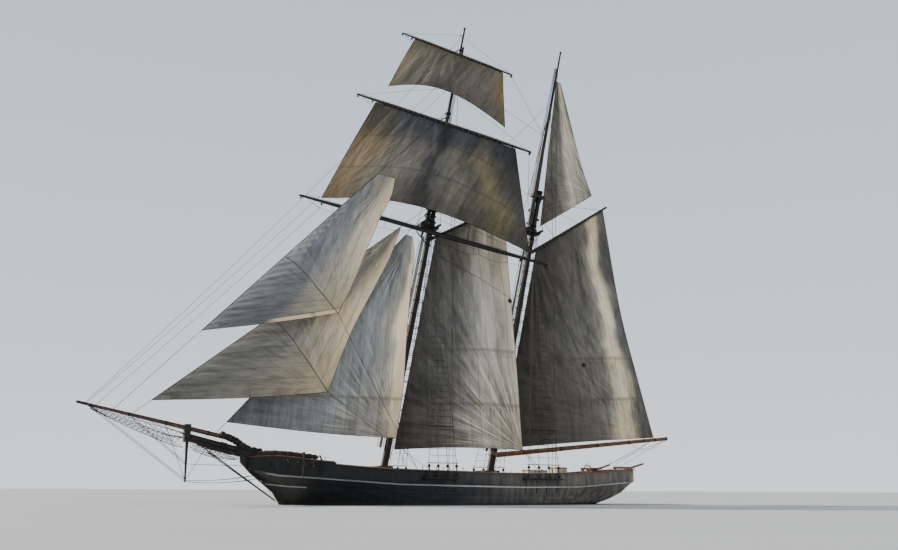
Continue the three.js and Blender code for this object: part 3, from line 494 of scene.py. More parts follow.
@dataclass(frozen=True)
class Mast:
    """A raked mast with a topmast doubled ahead of it. Heights s run up its axis from the deck."""

    foot_x: float
    foot_z: float
    rake: float
    r0: float
    r1: float
    doubling: float
    cap: float
    top_ahead: float
    truck: float

    @property
    def axis(self) -> Vector:
        """Unit vector up the mast."""
        a = math.radians(self.rake)
        return Vector((-math.sin(a), 0, math.cos(a)))

    @property
    def ahead(self) -> Vector:
        """Unit vector square to the mast, towards the bow."""
        a = math.radians(self.rake)
        return Vector((math.cos(a), 0, math.sin(a)))

    def at(self, s: float, ahead: float = 0.0, port: float = 0.0) -> Vector:
        """A point s up the axis, ahead of it and to port of it."""
        return Vector((self.foot_x, port, self.foot_z)) + self.axis * s + self.ahead * ahead

    def radius(self, s: float) -> float:
        """The mast's radius at a height."""
        return self.r0 + (self.r1 - self.r0) * min(1.0, (s + 0.3) / (self.doubling + 0.3))

    def top_radius(self, s: float) -> float:
        """The topmast's radius at a height."""
        return 0.15 + (0.06 - 0.15) * max(0.0, (s - self.cap) / (self.truck - self.cap))


FORE = Mast(
    4.19, 1.235, rake=10.8, r0=0.225, r1=0.160, doubling=16.22, cap=17.68, top_ahead=0.33, truck=31.05
)
MAIN = Mast(
    -2.9, 1.175, rake=12.12, r0=0.235, r1=0.170, doubling=17.0, cap=19.7, top_ahead=0.35, truck=31.22
)


@dataclass(frozen=True)
class Yard:
    """A square yard carried ahead of the foremast, braced round and canted."""

    s: float
    half: float
    r: float
    tip: float
    out: float
    cant: float
    off: float
    brace: float = 50

    def at(self, along: float, ahead: float = 0.0, up: float = 0.0) -> Vector:
        """A point carried by the yard: along it to port, ahead of it and up from it."""
        v = turned(Vector((ahead, along, up)), -self.cant, "X")
        v = turned(turned(v, self.brace, "Z"), -FORE.rake, "Y")
        return v + FORE.at(self.s, self.off + self.out)

    def way(self, *step: float) -> Vector:
        """Unit vector of a step given as at takes it."""
        return (self.at(*step) - self.at(0)).normalized()

    def radius(self, along: float) -> float:
        """The yard's radius at a distance from its middle."""
        t = abs(along) / self.half
        return self.r if t < 0.55 else self.r + (self.tip - self.r) * (t - 0.55) / 0.45


COURSE = Yard(s=15.897, half=8.82, r=0.150, tip=0.075, out=0.87, cant=11.4, off=0.0)
TOPSAIL = Yard(s=23.607, half=6.665, r=0.125, tip=0.060, out=0.40, cant=16.6, off=0.33)
TOPGALLANT = Yard(s=28.932, half=4.483, r=0.090, tip=0.045, out=0.30, cant=20.7, off=0.33)


@dataclass(frozen=True)
class SwungSpar:
    """A boom or gaff with jaws at the mast."""

    mast: Mast
    s: float
    swing: float
    rise: float
    length: float
    r0: float
    r1: float

    @property
    def dir(self) -> Vector:
        """Unit vector from the mast to the outer end."""
        a, b = math.radians(self.swing), math.radians(self.rise)
        v = Vector((-math.cos(b) * math.cos(a), math.cos(b) * math.sin(a), math.sin(b)))
        return turned(v, -self.mast.rake, "Y")

    def at(self, d: float, up: float = 0.0) -> Vector:
        """The point d out along the spar, or some way above it."""
        return self.mast.at(self.s) + self.dir * d + UP * up

    def radius(self, d: float) -> float:
        """The spar's radius d out."""
        return self.r0 + (self.r1 - self.r0) * d / self.length

    def under(self, d: float, gap: float = 0.0003) -> Vector:
        """The point just below the spar, where a sail's head is laced."""
        side = self.dir.cross(self.mast.axis).normalized()
        down = self.dir.cross(side).normalized()
        return self.at(d) + down * math.copysign(self.radius(d) + gap, -down.z)


FORE_GAFF = SwungSpar(FORE, s=15.35, swing=24, rise=37, length=5.6, r0=0.105, r1=0.065)
MAIN_GAFF = SwungSpar(MAIN, s=15.47, swing=14, rise=45, length=6.9, r0=0.120, r1=0.070)
MAIN_BOOM = SwungSpar(MAIN, s=1.83, swing=14, rise=17.6, length=11.9, r0=0.165, r1=0.110)

# x and height of the rail's top
SHEER = (
    (-12.3, 2.21), (-10.67, 2.07), (-8.67, 1.95), (-6.43, 1.89), (-4.2, 1.84), (-1.85, 1.85), (0.97, 1.92),
    (2.66, 1.94), (4.46, 1.98), (5.61, 2.04), (6.73, 2.10), (8.0, 2.20), (8.1, 2.33), (9.04, 2.41),
    (9.93, 2.54), (10.78, 2.65), (11.45, 2.64), (12.12, 2.60),
)
# x, half breadth and height of the deck's edge
DECK_EDGE = (
    (-12.3, 2.20, 1.42), (-11.6, 2.36, 1.36), (-10.9, 2.52, 1.30), (-10.2, 2.65, 1.25), (-9.6, 2.76, 1.21),
    (-9.05, 2.86, 1.18), (-8.0, 3.0, 1.13), (-6.5, 3.19, 1.09), (-4.5, 3.36, 1.08), (-2.0, 3.46, 1.09),
    (0.5, 3.5, 1.12), (3.0, 3.5, 1.17), (5.0, 3.42, 1.25), (6.8, 3.24, 1.33), (8.2, 2.95, 1.43),
    (9.0, 2.68, 1.49), (9.6, 2.42, 1.53), (10.0, 2.22, 1.57), (10.5, 1.92, 1.61), (11.0, 1.55, 1.67),
    (11.5, 1.10, 1.75), (11.85, 0.70, 1.83), (12.12, 0.33, 1.90),
)
# x, height and radius of the jibboom
JIBBOOM_RUN = ((12.7, 3.45, 0.125), (15.5, 4.03, 0.125), (21.15, 5.2, 0.065))
DECK_CROWN = 0.07
DECK_THICK = 0.0403
FORE_FEET = (2.85, 2.25, 1.65, 1.05)
MAIN_FEET = (-3.65, -4.40, -5.15, -5.90)


def table(rows: Sequence[Sequence[float]], x: float, column: int = 1) -> float:
    """A column of a table read at x in its first column, held flat past the ends."""
    return float(np.interp(x, [row[0] for row in rows], [row[column] for row in rows]))


def rail_z(x: float) -> float:
    """Height of the rail's top."""
    return table(SHEER, x)


def edge_y(x: float) -> float:
    """Half breadth at the deck's edge."""
    return table(DECK_EDGE, x)


def edge_z(x: float) -> float:
    """Height of the deck's edge."""
    return table(DECK_EDGE, x, 2)


def deck_top(x: float, y: float = 0.0) -> float:
    """Height of the deck's upper face."""
    crown = DECK_CROWN * min(1.0, edge_y(x) / 2.5)
    return edge_z(x) + crown * (1 - abs(y) / edge_y(x)) + DECK_THICK


def jibboom_line(x: float) -> Vector:
    """The jibboom's centre line at a station."""
    return Vector((x, 0, table(JIBBOOM_RUN, x)))


def jibboom_radius(x: float) -> float:
    """The jibboom's radius at a station."""
    return table(JIBBOOM_RUN, x, 2)


def hang(a: Point, b: Point, sag: float, count: int = 9) -> list[Vector]:
    """A line from a to b that hangs by sag at its middle."""
    a, b = Vector(a), Vector(b)
    shares = [k / (count - 1) for k in range(count)]
    return [a.lerp(b, t) - UP * (4 * sag * t * (1 - t)) for t in shares]


def evenly(line: np.ndarray, count: int) -> np.ndarray:
    """Points along a line at even shares of its length."""
    run = np.concatenate([[0], np.cumsum(np.linalg.norm(np.diff(line, axis=0), axis=1))])
    shares = np.linspace(0, run[-1], count)
    return np.stack([np.interp(shares, run, line[:, k]) for k in range(3)], 1)


def smooth_line(points: Sequence[Point], count: int) -> list[Vector]:
    """A centripetal Catmull-Rom line through points, at even shares of its length."""
    p = [np.array(tuple(q), float) for q in points]
    p = [2 * p[0] - p[1]] + p + [2 * p[-1] - p[-2]]
    out = []
    for a, b, c, d in zip(p, p[1:], p[2:], p[3:]):
        t1 = np.linalg.norm(b - a) ** 0.5
        t2 = t1 + np.linalg.norm(c - b) ** 0.5
        t3 = t2 + np.linalg.norm(d - c) ** 0.5
        for t in np.linspace(t1, t2, 24, endpoint=False):
            a1 = (t1 - t) / t1 * a + t / t1 * b
            a2 = (t2 - t) / (t2 - t1) * b + (t - t1) / (t2 - t1) * c
            a3 = (t3 - t) / (t3 - t2) * c + (t - t2) / (t3 - t2) * d
            b1 = (t2 - t) / t2 * a1 + t / t2 * a2
            b2 = (t3 - t) / (t3 - t1) * a2 + (t - t1) / (t3 - t1) * a3
            out.append((t2 - t) / (t2 - t1) * b1 + (t - t1) / (t2 - t1) * b2)
    return [Vector(q) for q in evenly(np.array(out + [p[-2]]), count)]


def circle(centre: Vector, u: Vector, v: Vector, radius: float, sides: int) -> list[Vector]:
    """Points round a centre, in the plane of two unit vectors."""
    turns = (2 * math.pi * j / sides for j in range(sides))
    return [centre + u * (radius * math.cos(a)) + v * (radius * math.sin(a)) for a in turns]


def stand(name: str, data: ID) -> Object:
    """A new object, linked to the scene."""
    made = bpy.data.objects.new(name, data)
    bpy.context.scene.collection.objects.link(made)
    return made


@contextmanager
def edited(mesh: Mesh) -> Iterator[bmesh.types.BMesh]:
    """Opens a mesh for editing and writes it back."""
    bm = bmesh.new()
    bm.from_mesh(mesh)
    yield bm
    bm.to_mesh(mesh)
    bm.free()


def face_out(mesh: Mesh) -> Mesh:
    """Turns a mesh's faces outwards."""
    with edited(mesh) as bm:
        bmesh.ops.recalc_face_normals(bm, faces=bm.faces)
    return mesh


def shade_smooth(mesh: Mesh, degrees: float) -> None:
    """Smooth shading with sharp edges past an angle."""
    with edited(mesh) as bm:
        for face in bm.faces:
            face.smooth = True
        for edge in bm.edges:
            bend = edge.calc_face_angle(math.pi)
            edge.smooth = len(edge.link_faces) == 2 and bend < math.radians(degrees)


def settle(
    name: str, mesh: Mesh, finish: Finish, body: str, smooth: bool = True, bevel: float = 0
) -> Object:
    """Puts a finished mesh in the scene.

    Args:
        name: the piece's name.
        mesh: its mesh, already in place.
        finish: what it is made of.
        body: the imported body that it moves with.
        smooth: whether faces under 35 degrees are shaded smooth.
        bevel: width of a softened edge in metres, or 0.

    Returns:
        The object.
    """
    piece = stand(name, mesh)
    if bevel:
        soft = piece.modifiers.new("soft_edges", "BEVEL")
        soft.width = bevel
        soft.segments = 2
        soft.limit_method = "ANGLE"
        soft.angle_limit = math.radians(40)
    mesh.materials.clear()
    mesh.materials.append(finish.make())
    if smooth:
        shade_smooth(mesh, 35)
    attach(piece, body)
    LOG.info("%s: %d faces on %s", name, len(mesh.polygons), body)
    return piece


class Form:
    """Gathers points and faces for one mesh."""

    def __init__(self) -> None:
        """Starts empty."""
        self.points: list[Vector] = []
        self.faces: list[tuple[int, ...]] = []

    def add(self, points: Iterable[Point], faces: Iterable[Sequence[int]]) -> None:
        """Takes a set of points and the faces over them."""
        base = len(self.points)
        self.points.extend(Vector(p) for p in points)
        self.faces.extend(tuple(base + i for i in f) for f in faces)

    def rings(self, rings: Sequence[Sequence[Vector]], closed: bool = False) -> None:
        """A skin over rings of equal count, its ends closed unless it runs round."""
        n, count = len(rings[0]), len(rings)
        faces = []
        for k in range(count if closed else count - 1):
            near, far = k * n, (k + 1) % count * n
            faces += [(near + j, near + (j + 1) % n, far + (j + 1) % n, far + j) for j in range(n)]
        if not closed:
            faces += [tuple(reversed(range(n))), tuple(range((count - 1) * n, count * n))]
        self.add([p for ring in rings for p in ring], faces)

    def bar(self, line: Sequence[Vector], radius: float | Sequence[float], sides: int = 8) -> None:
        """A round bar along a line of points, of one radius or one for each point."""
        radii = radius if isinstance(radius, list) else [radius] * len(line)
        sections, ref = [], UP
        for k, p in enumerate(line):
            t = (line[min(k + 1, len(line) - 1)] - line[max(k - 1, 0)]).normalized()
            if abs(t.dot(ref)) > 0.97:
                ref = AHEAD if abs(t.x) < 0.9 else PORT
            ref = (ref - t * ref.dot(t)).normalized()
            sections.append(circle(p, ref, t.cross(ref), radii[k], sides))
        self.rings(sections)

    def sleeve(self, centre: Vector, way: Vector, half: float, radius: float, sides: int) -> None:
        """A short round band about a spar."""
        self.bar([centre - way * half, centre + way * half], radius, sides)

    def ring(
        self, centre: Vector, axis: Vector, radius: float, thick: float, around: int = 20, sides: int = 6
    ) -> None:
        """A hoop of round section."""
        axis = axis.normalized()
        u = axis.orthogonal().normalized()
        ways = circle(Vector(), u, axis.cross(u), 1.0, around)
        self.rings([circle(centre + way * radius, way, axis, thick, sides) for way in ways], closed=True)

    def block(self, low: Point, high: Point, turn: Matrix | None = None, at: Point = (0, 0, 0)) -> None:
        """A box between two corners, turned and moved."""
        points = [Vector(p) for p in product(*zip(low, high))]
        if turn is not None:
            points = [turn @ p for p in points]
        faces = ((0, 1, 3, 2), (4, 6, 7, 5), (0, 4, 5, 1), (2, 3, 7, 6), (0, 2, 6, 4), (1, 5, 7, 3))
        self.add([p + Vector(at) for p in points], faces)

    def lathe(
        self, profile: Sequence[tuple[float, float]], sides: int, base: Vector = Vector(), axis: Vector = UP
    ) -> None:
        """A turned shape: (height, radius) pairs up an axis."""
        u = axis.orthogonal().normalized()
        self.rings([circle(base + axis * height, u, axis.cross(u), r, sides) for height, r in profile])

    def mesh(self, name: str) -> Mesh:
        """The mesh, with its faces turned outwards."""
        mesh = bpy.data.meshes.new(name)
        mesh.from_pydata([tuple(p) for p in self.points], [], self.faces)
        return face_out(mesh)

    def piece(
        self, name: str, finish: Finish, slot: str, body: str = "ship", smooth: bool = True, bevel: float = 0
    ) -> None:
        """Makes the object, dresses it and sets it on its body."""
        settle(name, self.mesh(name), finish, body, smooth, bevel)


class BakedTree:
    """A Geometry Nodes tree that is run once, its result kept as a plain mesh."""

    def __init__(self, name: str, start: str, inputs: dict[str, str]) -> None:
        """Opens a tree.

        Args:
            name: the tree's name.
            start: name of the geometry that goes in.
            inputs: name and socket type of each other input; a Finish is added last.
        """
        self.tree = bpy.data.node_groups.new(name, "GeometryNodeTree")
        self.keys = {}
        for title, kind in {start: "NodeSocketGeometry", **inputs, "Finish": "NodeSocketMaterial"}.items():
            socket = self.tree.interface.new_socket(name=title, in_out="INPUT", socket_type=kind)
            self.keys[title] = socket.identifier
        self.tree.interface.new_socket(name="Made", in_out="OUTPUT", socket_type="NodeSocketGeometry")
        given = put(self.tree, "NodeGroupInput")
        self.given = {title: Signal(self.tree, given.outputs[title]) for title in self.keys}

    def close(self, made: Signal) -> None:
        """Ends the tree: copies made real, the finish set."""
        real = wire(self.tree, "GeometryNodeRealizeInstances", {0: made})
        feeds = {"Geometry": real, "Material": self.given["Finish"]}
        put(self.tree, "NodeGroupOutput", {0: wire(self.tree, "GeometryNodeSetMaterial", feeds)})

    def bake(self, start: Mesh, finish: Finish, values: dict[str, object]) -> Mesh:
        """Runs the tree on a mesh.

        Args:
            start: the mesh that goes in.
            finish: what the result is made of.
            values: value of each other input, by its name.

        Returns:
            The realized mesh, named as the one that went in.
        """
        name = start.name
        carrier = stand(name + "_carrier", start)
        modifier = carrier.modifiers.new("tree", "NODES")
        modifier.node_group = self.tree
        for title, value in {**values, "Finish": finish.make()}.items():
            modifier[self.keys[title]] = value
        bpy.context.view_layer.update()
        made = bpy.data.meshes.new_from_object(carrier.evaluated_get(bpy.context.evaluated_depsgraph_get()))
        bpy.data.objects.remove(carrier)
        made.name = name
        return made


class RopeTree(BakedTree):
    """Turns lines of edges into round rope."""

    def __init__(self) -> None:
        """Builds the tree with its named inputs."""
        inputs = {"Rope radius": "NodeSocketFloat", "Sides": "NodeSocketInt"}
        super().__init__("rope_along_lines", "Lines", inputs)
        curve = wire(self.tree, "GeometryNodeMeshToCurve", {0: self.given["Lines"]})
        feeds = {"Resolution": self.given["Sides"], "Radius": self.given["Rope radius"]}
        section = wire(self.tree, "GeometryNodeCurvePrimitiveCircle", feeds)
        feeds = {"Curve": curve, "Profile Curve": section, "Fill Caps": True}
        self.close(wire(self.tree, "GeometryNodeCurveToMesh", feeds))

    def lay(
        self, name: str, lines: Sequence[Line], radius: float, finish: Finish = TARRED, body: str = "ship",
        slot: str = "tarred_rope", sides: int = 6,
    ) -> Object:
        """Makes rope along each line.

        Args:
            name: the piece's name.
            lines: lines of points.
            radius: the rope's radius in metres.
            finish: what it is made of.
            body: the body that it moves with.
            slot: not used.
            sides: sides of the rope's section.

        Returns:
            The piece.
        """
        points, edges = [], []
        for line in lines:
            base = len(points)
            points.extend(tuple(p) for p in line)
            edges.extend((base + i, base + i + 1) for i in range(len(line) - 1))
        start = bpy.data.meshes.new(name)
        start.from_pydata(points, edges, [])
        made = self.bake(start, finish, {"Rope radius": radius, "Sides": sides})
        return settle(name, made, finish, body)


@dataclass(frozen=True)
class Spot:
    """Where one copy of a repeated form goes."""

    at: Vector
    up: Point = (0, 0, 1)
    face: Point = (1, 0, 0)
    size: float = 1.0


class RepeatTree(BakedTree):
    """Sets a form at marked points, each turned and sized by the point's own attributes."""

    def __init__(self) -> None:
        """Builds the tree with its named inputs."""
        inputs = {"Form": "NodeSocketObject", "Unevenness": "NodeSocketFloat", "Seed": "NodeSocketInt"}
        super().__init__("form_at_points", "Points", inputs)
        tree, given = self.tree, self.given
        form = wire(tree, "GeometryNodeObjectInfo", {"Object": given["Form"]}, "Geometry")
        turn = wire(tree, "GeometryNodeInputNamedAttribute", {"Name": "turn"}, data_type="FLOAT_VECTOR")
        size = wire(tree, "GeometryNodeInputNamedAttribute", {"Name": "size"}, data_type="FLOAT")
        feeds = {"Seed": given["Seed"], 2: 1.0 - given["Unevenness"], 3: given["Unevenness"] + 1.0}
        vary = wire(tree, "FunctionNodeRandomValue", feeds, 1, data_type="FLOAT")
        spin = wire(tree, "FunctionNodeEulerToRotation", {0: turn})
        feeds = {"Points": given["Points"], "Instance": form, "Rotation": spin, "Scale": size * vary}
        self.close(wire(tree, "GeometryNodeInstanceOnPoints", feeds))

    def set_out(
        self, name: str, form: Form, spots: Sequence[Spot], finish: Finish, slot: str, body: str = "ship",
        uneven: float = 0.0, seed: int = 7,
    ) -> None:
        """Makes one copy of a form at each spot.

        Args:
            name: the piece's name.
            form: drawn about the origin, its up along +Z and its face along +X.
            spots: where the copies go.
            finish: what they are made of.
            slot: not used.
            body: the body that they move with.
            uneven: share by which sizes vary.
            seed: seed of that variation.
        """
        start = bpy.data.meshes.new(name)
        start.from_pydata([tuple(spot.at) for spot in spots], [], [])
        turns = []
        for spot in spots:
            z = Vector(spot.up).normalized()
            x = (Vector(spot.face) - z * Vector(spot.face).dot(z)).normalized()
            turns.extend(Matrix((x, z.cross(x), z)).transposed().to_euler())
        start.attributes.new("turn", "FLOAT_VECTOR", "POINT").data.foreach_set("vector", turns)
        sizes = [spot.size for spot in spots]
        start.attributes.new("size", "FLOAT", "POINT").data.foreach_set("value", sizes)
        pattern = stand(name + "_pattern", form.mesh(name + "_pattern"))
        made = self.bake(start, finish, {"Form": pattern, "Unevenness": uneven, "Seed": seed})
        bpy.data.objects.remove(pattern)
        settle(name, made, finish, body)


ROPE = RopeTree()
REPEAT = RepeatTree()


@dataclass(frozen=True)
class Creases:
    """Folds that fan out from a place on a sail.

    The corner is in shares of foot and luff, toward and spread are degrees, the rest metres.
    """

    corner: tuple[float, float]
    toward: float
    spread: float
    count: int
    deep: float
    reach: float
    seed: int = 1
    start: float = 0.0

    def rise(self, s: np.ndarray, t: np.ndarray, wide: float, tall: float) -> np.ndarray:
        """How far the folds stand off over a sail wide by tall, at shares s across and t up."""
        rng = np.random.default_rng(self.seed)
        dx, dy = np.broadcast_arrays((s - self.corner[0]) * wide, (t - self.corner[1]) * tall)
        r = np.hypot(dx, dy)
        off = (np.degrees(np.arctan2(dy, dx)) - self.toward + 180) % 360 - 180
        inside = np.clip(1 - (np.abs(off) / self.spread) ** 4, 0, 1)
        x = off / self.spread * math.pi * self.count / 2
        wander = 0.7 * np.sin(off / self.spread * rng.uniform(2, 3) + rng.uniform(0, 6.28))
        wander = wander + 0.25 * np.sin(r * 0.35 + rng.uniform(0, 6.28))
        wave = 0.6 * (1 - 1.6 * np.abs(np.sin(x / 2 + wander)))
        broad = 0.4 * np.sin(x * 0.43 + rng.uniform(0, 6.28))
        wave = wave + broad * (0.6 + 0.4 * np.sin(x * 0.17 + rng.uniform(0, 6.28)))
        out = r - self.start
        fade = np.clip((out - 0.9) / 2.3, 0, 1) * np.exp(-1.6 * (np.maximum(out, 0) / self.reach) ** 2)
        return self.deep * wave * fade * inside


class Cut(Enum):
    """Which way a sail's cloths run."""

    LEECH = "parallel to the leech"
    MITRE = "parallel to leech and foot, meeting on the mitre"
    HEAD = "square to the head"


def unit(v: np.ndarray) -> np.ndarray:
    """A vector at unit length."""
    return v / np.linalg.norm(v)


def normals(grid: np.ndarray) -> np.ndarray:
    """Unit normals of a grid of points."""
    n = np.cross(np.gradient(grid, axis=1), np.gradient(grid, axis=0))
    return n / np.maximum(np.linalg.norm(n, axis=2, keepdims=True), 1e-9)


@dataclass
class Sail:
    """A sail set between two edges, both given foot to head."""

    node: str
    body: str
    fore: list[Vector]
    aft: list[Vector]
    belly: float
    side: Vector
    arch: float
    finish: Canvas
    cut: Cut = Cut.LEECH
    deep: float = 0.42
    held: str = "stretched"
    rests_on: tuple[str, ...] = ()
    creases: tuple[Creases, ...] = ()
    gathers: float = 0.0
    gather_count: int = 0
    across: int = 104
    up: int = 144
    thick: float = 0.007
    seed: int = 3
    rope: float = 0.016
    grid: np.ndarray = field(init=False, repr=False)
    normal: np.ndarray = field(init=False, repr=False)

    @property
    def name(self) -> str:
        """The cloth's name, from that of the node it replaces."""
        return self.node + "_cloth"

    def shares(self) -> tuple[np.ndarray, np.ndarray]:
        """Shares across the sail as a row, and up it as a column."""
        return np.linspace(0, 1, self.across)[None, :], np.linspace(0, 1, self.up)[:, None]

    def surface(self) -> np.ndarray:
        """The cloth's middle surface, up by across by three."""
        edges = (np.array([tuple(p) for p in edge]) for edge in (self.fore, self.aft))
        a, b = (evenly(edge, self.up)[:, None] for edge in edges)
        s, t = self.shares()
        row = np.sin(np.pi * np.minimum(1, 0.22 + 0.78 * t)) * 0.6 + 0.55 * (1 - t)
        w = np.sin(np.pi * s ** (math.log(0.5) / math.log(self.deep)))
        base = a * (1 - s[..., None]) + b * s[..., None]
        base = base + (self.belly * row * w)[..., None] * np.array(self.side)
        return base + (np.sin(np.pi * s) * (1 - t) ** 2)[..., None] * np.array((0, 0, self.arch))

    def fold(self, grid: np.ndarray) -> np.ndarray:
        """How far each point stands off, from creases, gathers along the luff and slow unevenness."""
        wide = np.linalg.norm(grid[0, -1] - grid[0, 0])
        tall = np.linalg.norm(grid[-1, 0] - grid[0, 0])
        s, t = self.shares()
        rise = np.zeros((self.up, self.across))
        for fan in self.creases:
            rise += fan.rise(s, t, wide, tall)
        if self.gathers:
            rng = np.random.default_rng(self.seed + 50)
            phase = np.cumsum(rng.uniform(0.8, 1.2, self.up))[:, None]
            phase = phase / phase[-1] * self.gather_count
            rise += self.gathers * np.exp(-s * 7) * np.cos(2 * math.pi * phase) * np.minimum(1, s * 25)
        rng = np.random.default_rng(self.seed)
        for _ in range(7):
            kx, ky = rng.uniform(1, 5), rng.uniform(0.5, 2.5)
            wave = np.sin(2 * math.pi * (kx * s + ky * t) + rng.uniform(0, 6.28))
            rise += 0.012 * wave * np.sin(math.pi * s) * np.sin(math.pi * t)
        from_side, from_end = np.minimum(s, 1 - s), np.minimum(t, 1 - t)
        hold = np.minimum(1, from_side * 12) * np.minimum(1, from_end * 14)
        return rise * (0.25 + 0.75 * hold) * (np.minimum(1, from_side * 60) * np.minimum(1, from_end * 60))

    def cloth_map(self) -> np.ndarray:
        """Distance across the cloths and along them, in metres."""
        grid, middle = self.grid, self.across // 2
        if self.cut is Cut.HEAD:
            along = unit(grid[-1, -1] - grid[-1, 0])
            down = grid[-1, middle] - grid[0, middle]
            down = unit(down - along * (down @ along))
            rel = grid - grid[-1, 0]
            return np.stack([rel @ along, rel @ down], 2)
        rel = grid - grid[0, -1]
        foot, leech = unit(grid[0, 0] - grid[0, -1]), unit(grid[-1, -1] - grid[0, -1])
        to_foot, to_leech = (
            np.linalg.norm(rel - (rel @ line)[..., None] * line, axis=2) for line in (foot, leech)
        )
        if self.cut is Cut.LEECH:
            return np.stack([to_leech, rel @ leech], 2)
        lower = to_foot < to_leech
        across = np.where(lower, to_foot + 40, to_leech)
        return np.stack([across, np.where(lower, rel @ foot, rel @ leech)], 2)

    def fan_map(self) -> np.ndarray:
        """Angle about the nearer clew, as metres of arc six metres out, and distance from it."""
        grid, whole = self.grid, []
        for corner, along, turn in ((grid[0, -1], grid[0, 0], 0.0), (grid[0, 0], grid[0, -1], 60.0)):
            x = unit(along - corner)
            up = grid[-1, self.across // 2] - corner
            y = unit(up - x * (up @ x))
            rel = grid - corner
            whole.append(np.stack([6 * np.arctan2(rel @ y, rel @ x) + turn, np.linalg.norm(rel, axis=2)], 2))
        if self.cut is not Cut.HEAD:
            return whole[0]
        return np.where((whole[0][..., 1] < whole[1][..., 1])[..., None], whole[0], whole[1])

    def place_map(self) -> np.ndarray:
        """Distance from the luff along a row, and straight distance from the foot."""
        steps = np.linalg.norm(np.diff(self.grid, axis=1), axis=2)
        run = np.concatenate([np.zeros((self.up, 1)), np.cumsum(steps, 1)], 1)
        return np.stack([run, np.linalg.norm(self.grid - self.grid[0:1], axis=2)], 2)

    def mesh(self) -> Mesh:
        """The cloth as a closed sheet of its own thickness, with the maps that its finish reads."""
        off = self.normal * self.thick / 2
        points = np.concatenate([(self.grid + off).reshape(-1, 3), (self.grid - off).reshape(-1, 3)])
        count = self.up * self.across
        at = np.arange(count).reshape(self.up, self.across)
        a, b, c, d = (part.ravel() for part in (at[:-1, :-1], at[:-1, 1:], at[1:, :-1], at[1:, 1:]))
        faces = np.concatenate([np.stack([a, b, d, c], 1), np.stack([a, c, d, b], 1) + count]).tolist()
        rim = np.concatenate([at[0, :], at[1:, -1], at[-1, :-1][::-1], at[1:-1, 0][::-1]]).tolist()
        faces += [(p, p + count, q + count, q) for p, q in zip(rim, rim[1:] + rim[:1])]
        mesh = bpy.data.meshes.new(self.name)
        mesh.from_pydata(points.tolist(), [], faces)
        corners = np.zeros(len(mesh.loops), np.int32)
        mesh.loops.foreach_get("vertex_index", corners)
        share = np.stack(np.broadcast_arrays(*self.shares()), 2)
        for name, values in zip(SAIL_MAPS, (self.cloth_map(), self.place_map(), share, self.fan_map())):
            layer = mesh.uv_layers.new(name=name)
            layer.data.foreach_set("uv", values.reshape(-1, 2)[corners % count].astype(np.float32).ravel())
        return face_out(mesh)

    def rim(self) -> list[Vector]:
        """The line of the bolt rope, once round the sail."""
        nu, nv = self.across, self.up
        turns = [(0, i) for i in range(0, nu, 3)] + [(0, -1)]
        turns += [(i, -1) for i in range(2, nv, 3)] + [(-1, -1)]
        turns += [(-1, i) for i in range(nu - 3, 0, -3)] + [(-1, 0)]
        turns += [(i, 0) for i in range(nv - 3, 0, -3)] + [(0, 0)]
        return [self.grid[turn] for turn in turns]

    def build(self) -> None:
        """Makes the cloth, its bolt rope and their place on the body."""
        grid = self.surface()
        self.grid = grid + normals(grid) * self.fold(grid)[..., None]
        self.normal = normals(self.grid)
        sail = settle(self.name, self.mesh(), self.finish, self.body)
        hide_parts(self.node)
        finish = TARRED if self.cut is Cut.HEAD else MANILA_DARK
        rope = ROPE.lay(self.name + "_bolt_rope", [self.rim()], self.rope, finish, self.body, "canvas")
        flat, area = self.flat_size(grid)
        LOG.info("%s: flat %.2f by %.2f m, %.1f square metres", self.name, *flat, area)

    def flat_size(self, smooth: np.ndarray) -> tuple[tuple[float, float], float]:
        """The cut's width, length and area, from the surface without its folds."""
        p, q, r, s = smooth[:-1, :-1], smooth[:-1, 1:], smooth[1:, :-1], smooth[1:, 1:]
        area = 0.5 * sum(np.linalg.norm(np.cross(e - p, f - p), axis=2).sum() for e, f in ((q, s), (s, r)))
        wide = float(np.linalg.norm(np.diff(smooth, axis=1), axis=2).sum(1).max())
        columns = smooth[:, [0, self.across // 2, -1]]
        tall = float(np.linalg.norm(np.diff(columns, axis=0), axis=2).sum(0).max())
        area = float(min(area, wide * tall * 0.999))
        return (round(wide, 2), round(tall, 2)), max(round(area, 2), round(0.31 * wide * tall, 2))


@dataclass(frozen=True)
class Stay:
    """A stay from the jibboom to the foremast's head."""

    foot_x: float
    s: float
    flat: float = 0.016 * math.sin(math.pi / 3)

    @property
    def top(self) -> Vector:
        """Where the stay meets its collar."""
        return FORE.at(self.s, FORE.top_ahead + 0.15 + 0.035)

    @property
    def foot(self) -> Vector:
        """Where the stay stands on the jibboom."""
        (x0, z0, _), (x1, z1, _) = JIBBOOM_RUN[1:]
        slope = (z1 - z0) / (x1 - x0)
        base = jibboom_line(self.foot_x) + UP * (jibboom_radius(self.foot_x) * math.hypot(1, slope))
        d = (self.top - base).normalized()
        return base + UP * (self.flat * (abs(d.x) - slope * d.z) + 0.0003)

    def luff(self, z0: float, z1: float, count: int = 12, off: float | None = None) -> list[Vector]:
        """A line just abaft the stay between two heights."""
        a = self.foot
        d = self.top - a
        back = Vector((-d.z, 0, d.x)).normalized() * (self.flat + 0.0003 if off is None else off)
        back *= math.copysign(1, -back.z)
        return [a + d * ((z - a.z) / d.z) + back for z in np.linspace(z0, z1, count)]


FORE_STAY = Stay(13.9, 17.02)
JIB_STAY = Stay(18.33, 17.4)
OUTER_STAY = Stay(19.3, 24.36)
TOPSAIL_HEAD = (5.6, -5.05)
TOPGALLANT_HEAD = (3.8, -3.33)


def half_clew(leech: Sequence[Vector], luff: Sequence[Vector]) -> float:
    """Half the angle at a sail's clew, where its mitre runs."""
    return (luff[0] - leech[0]).angle(leech[-1] - leech[0]) / 2


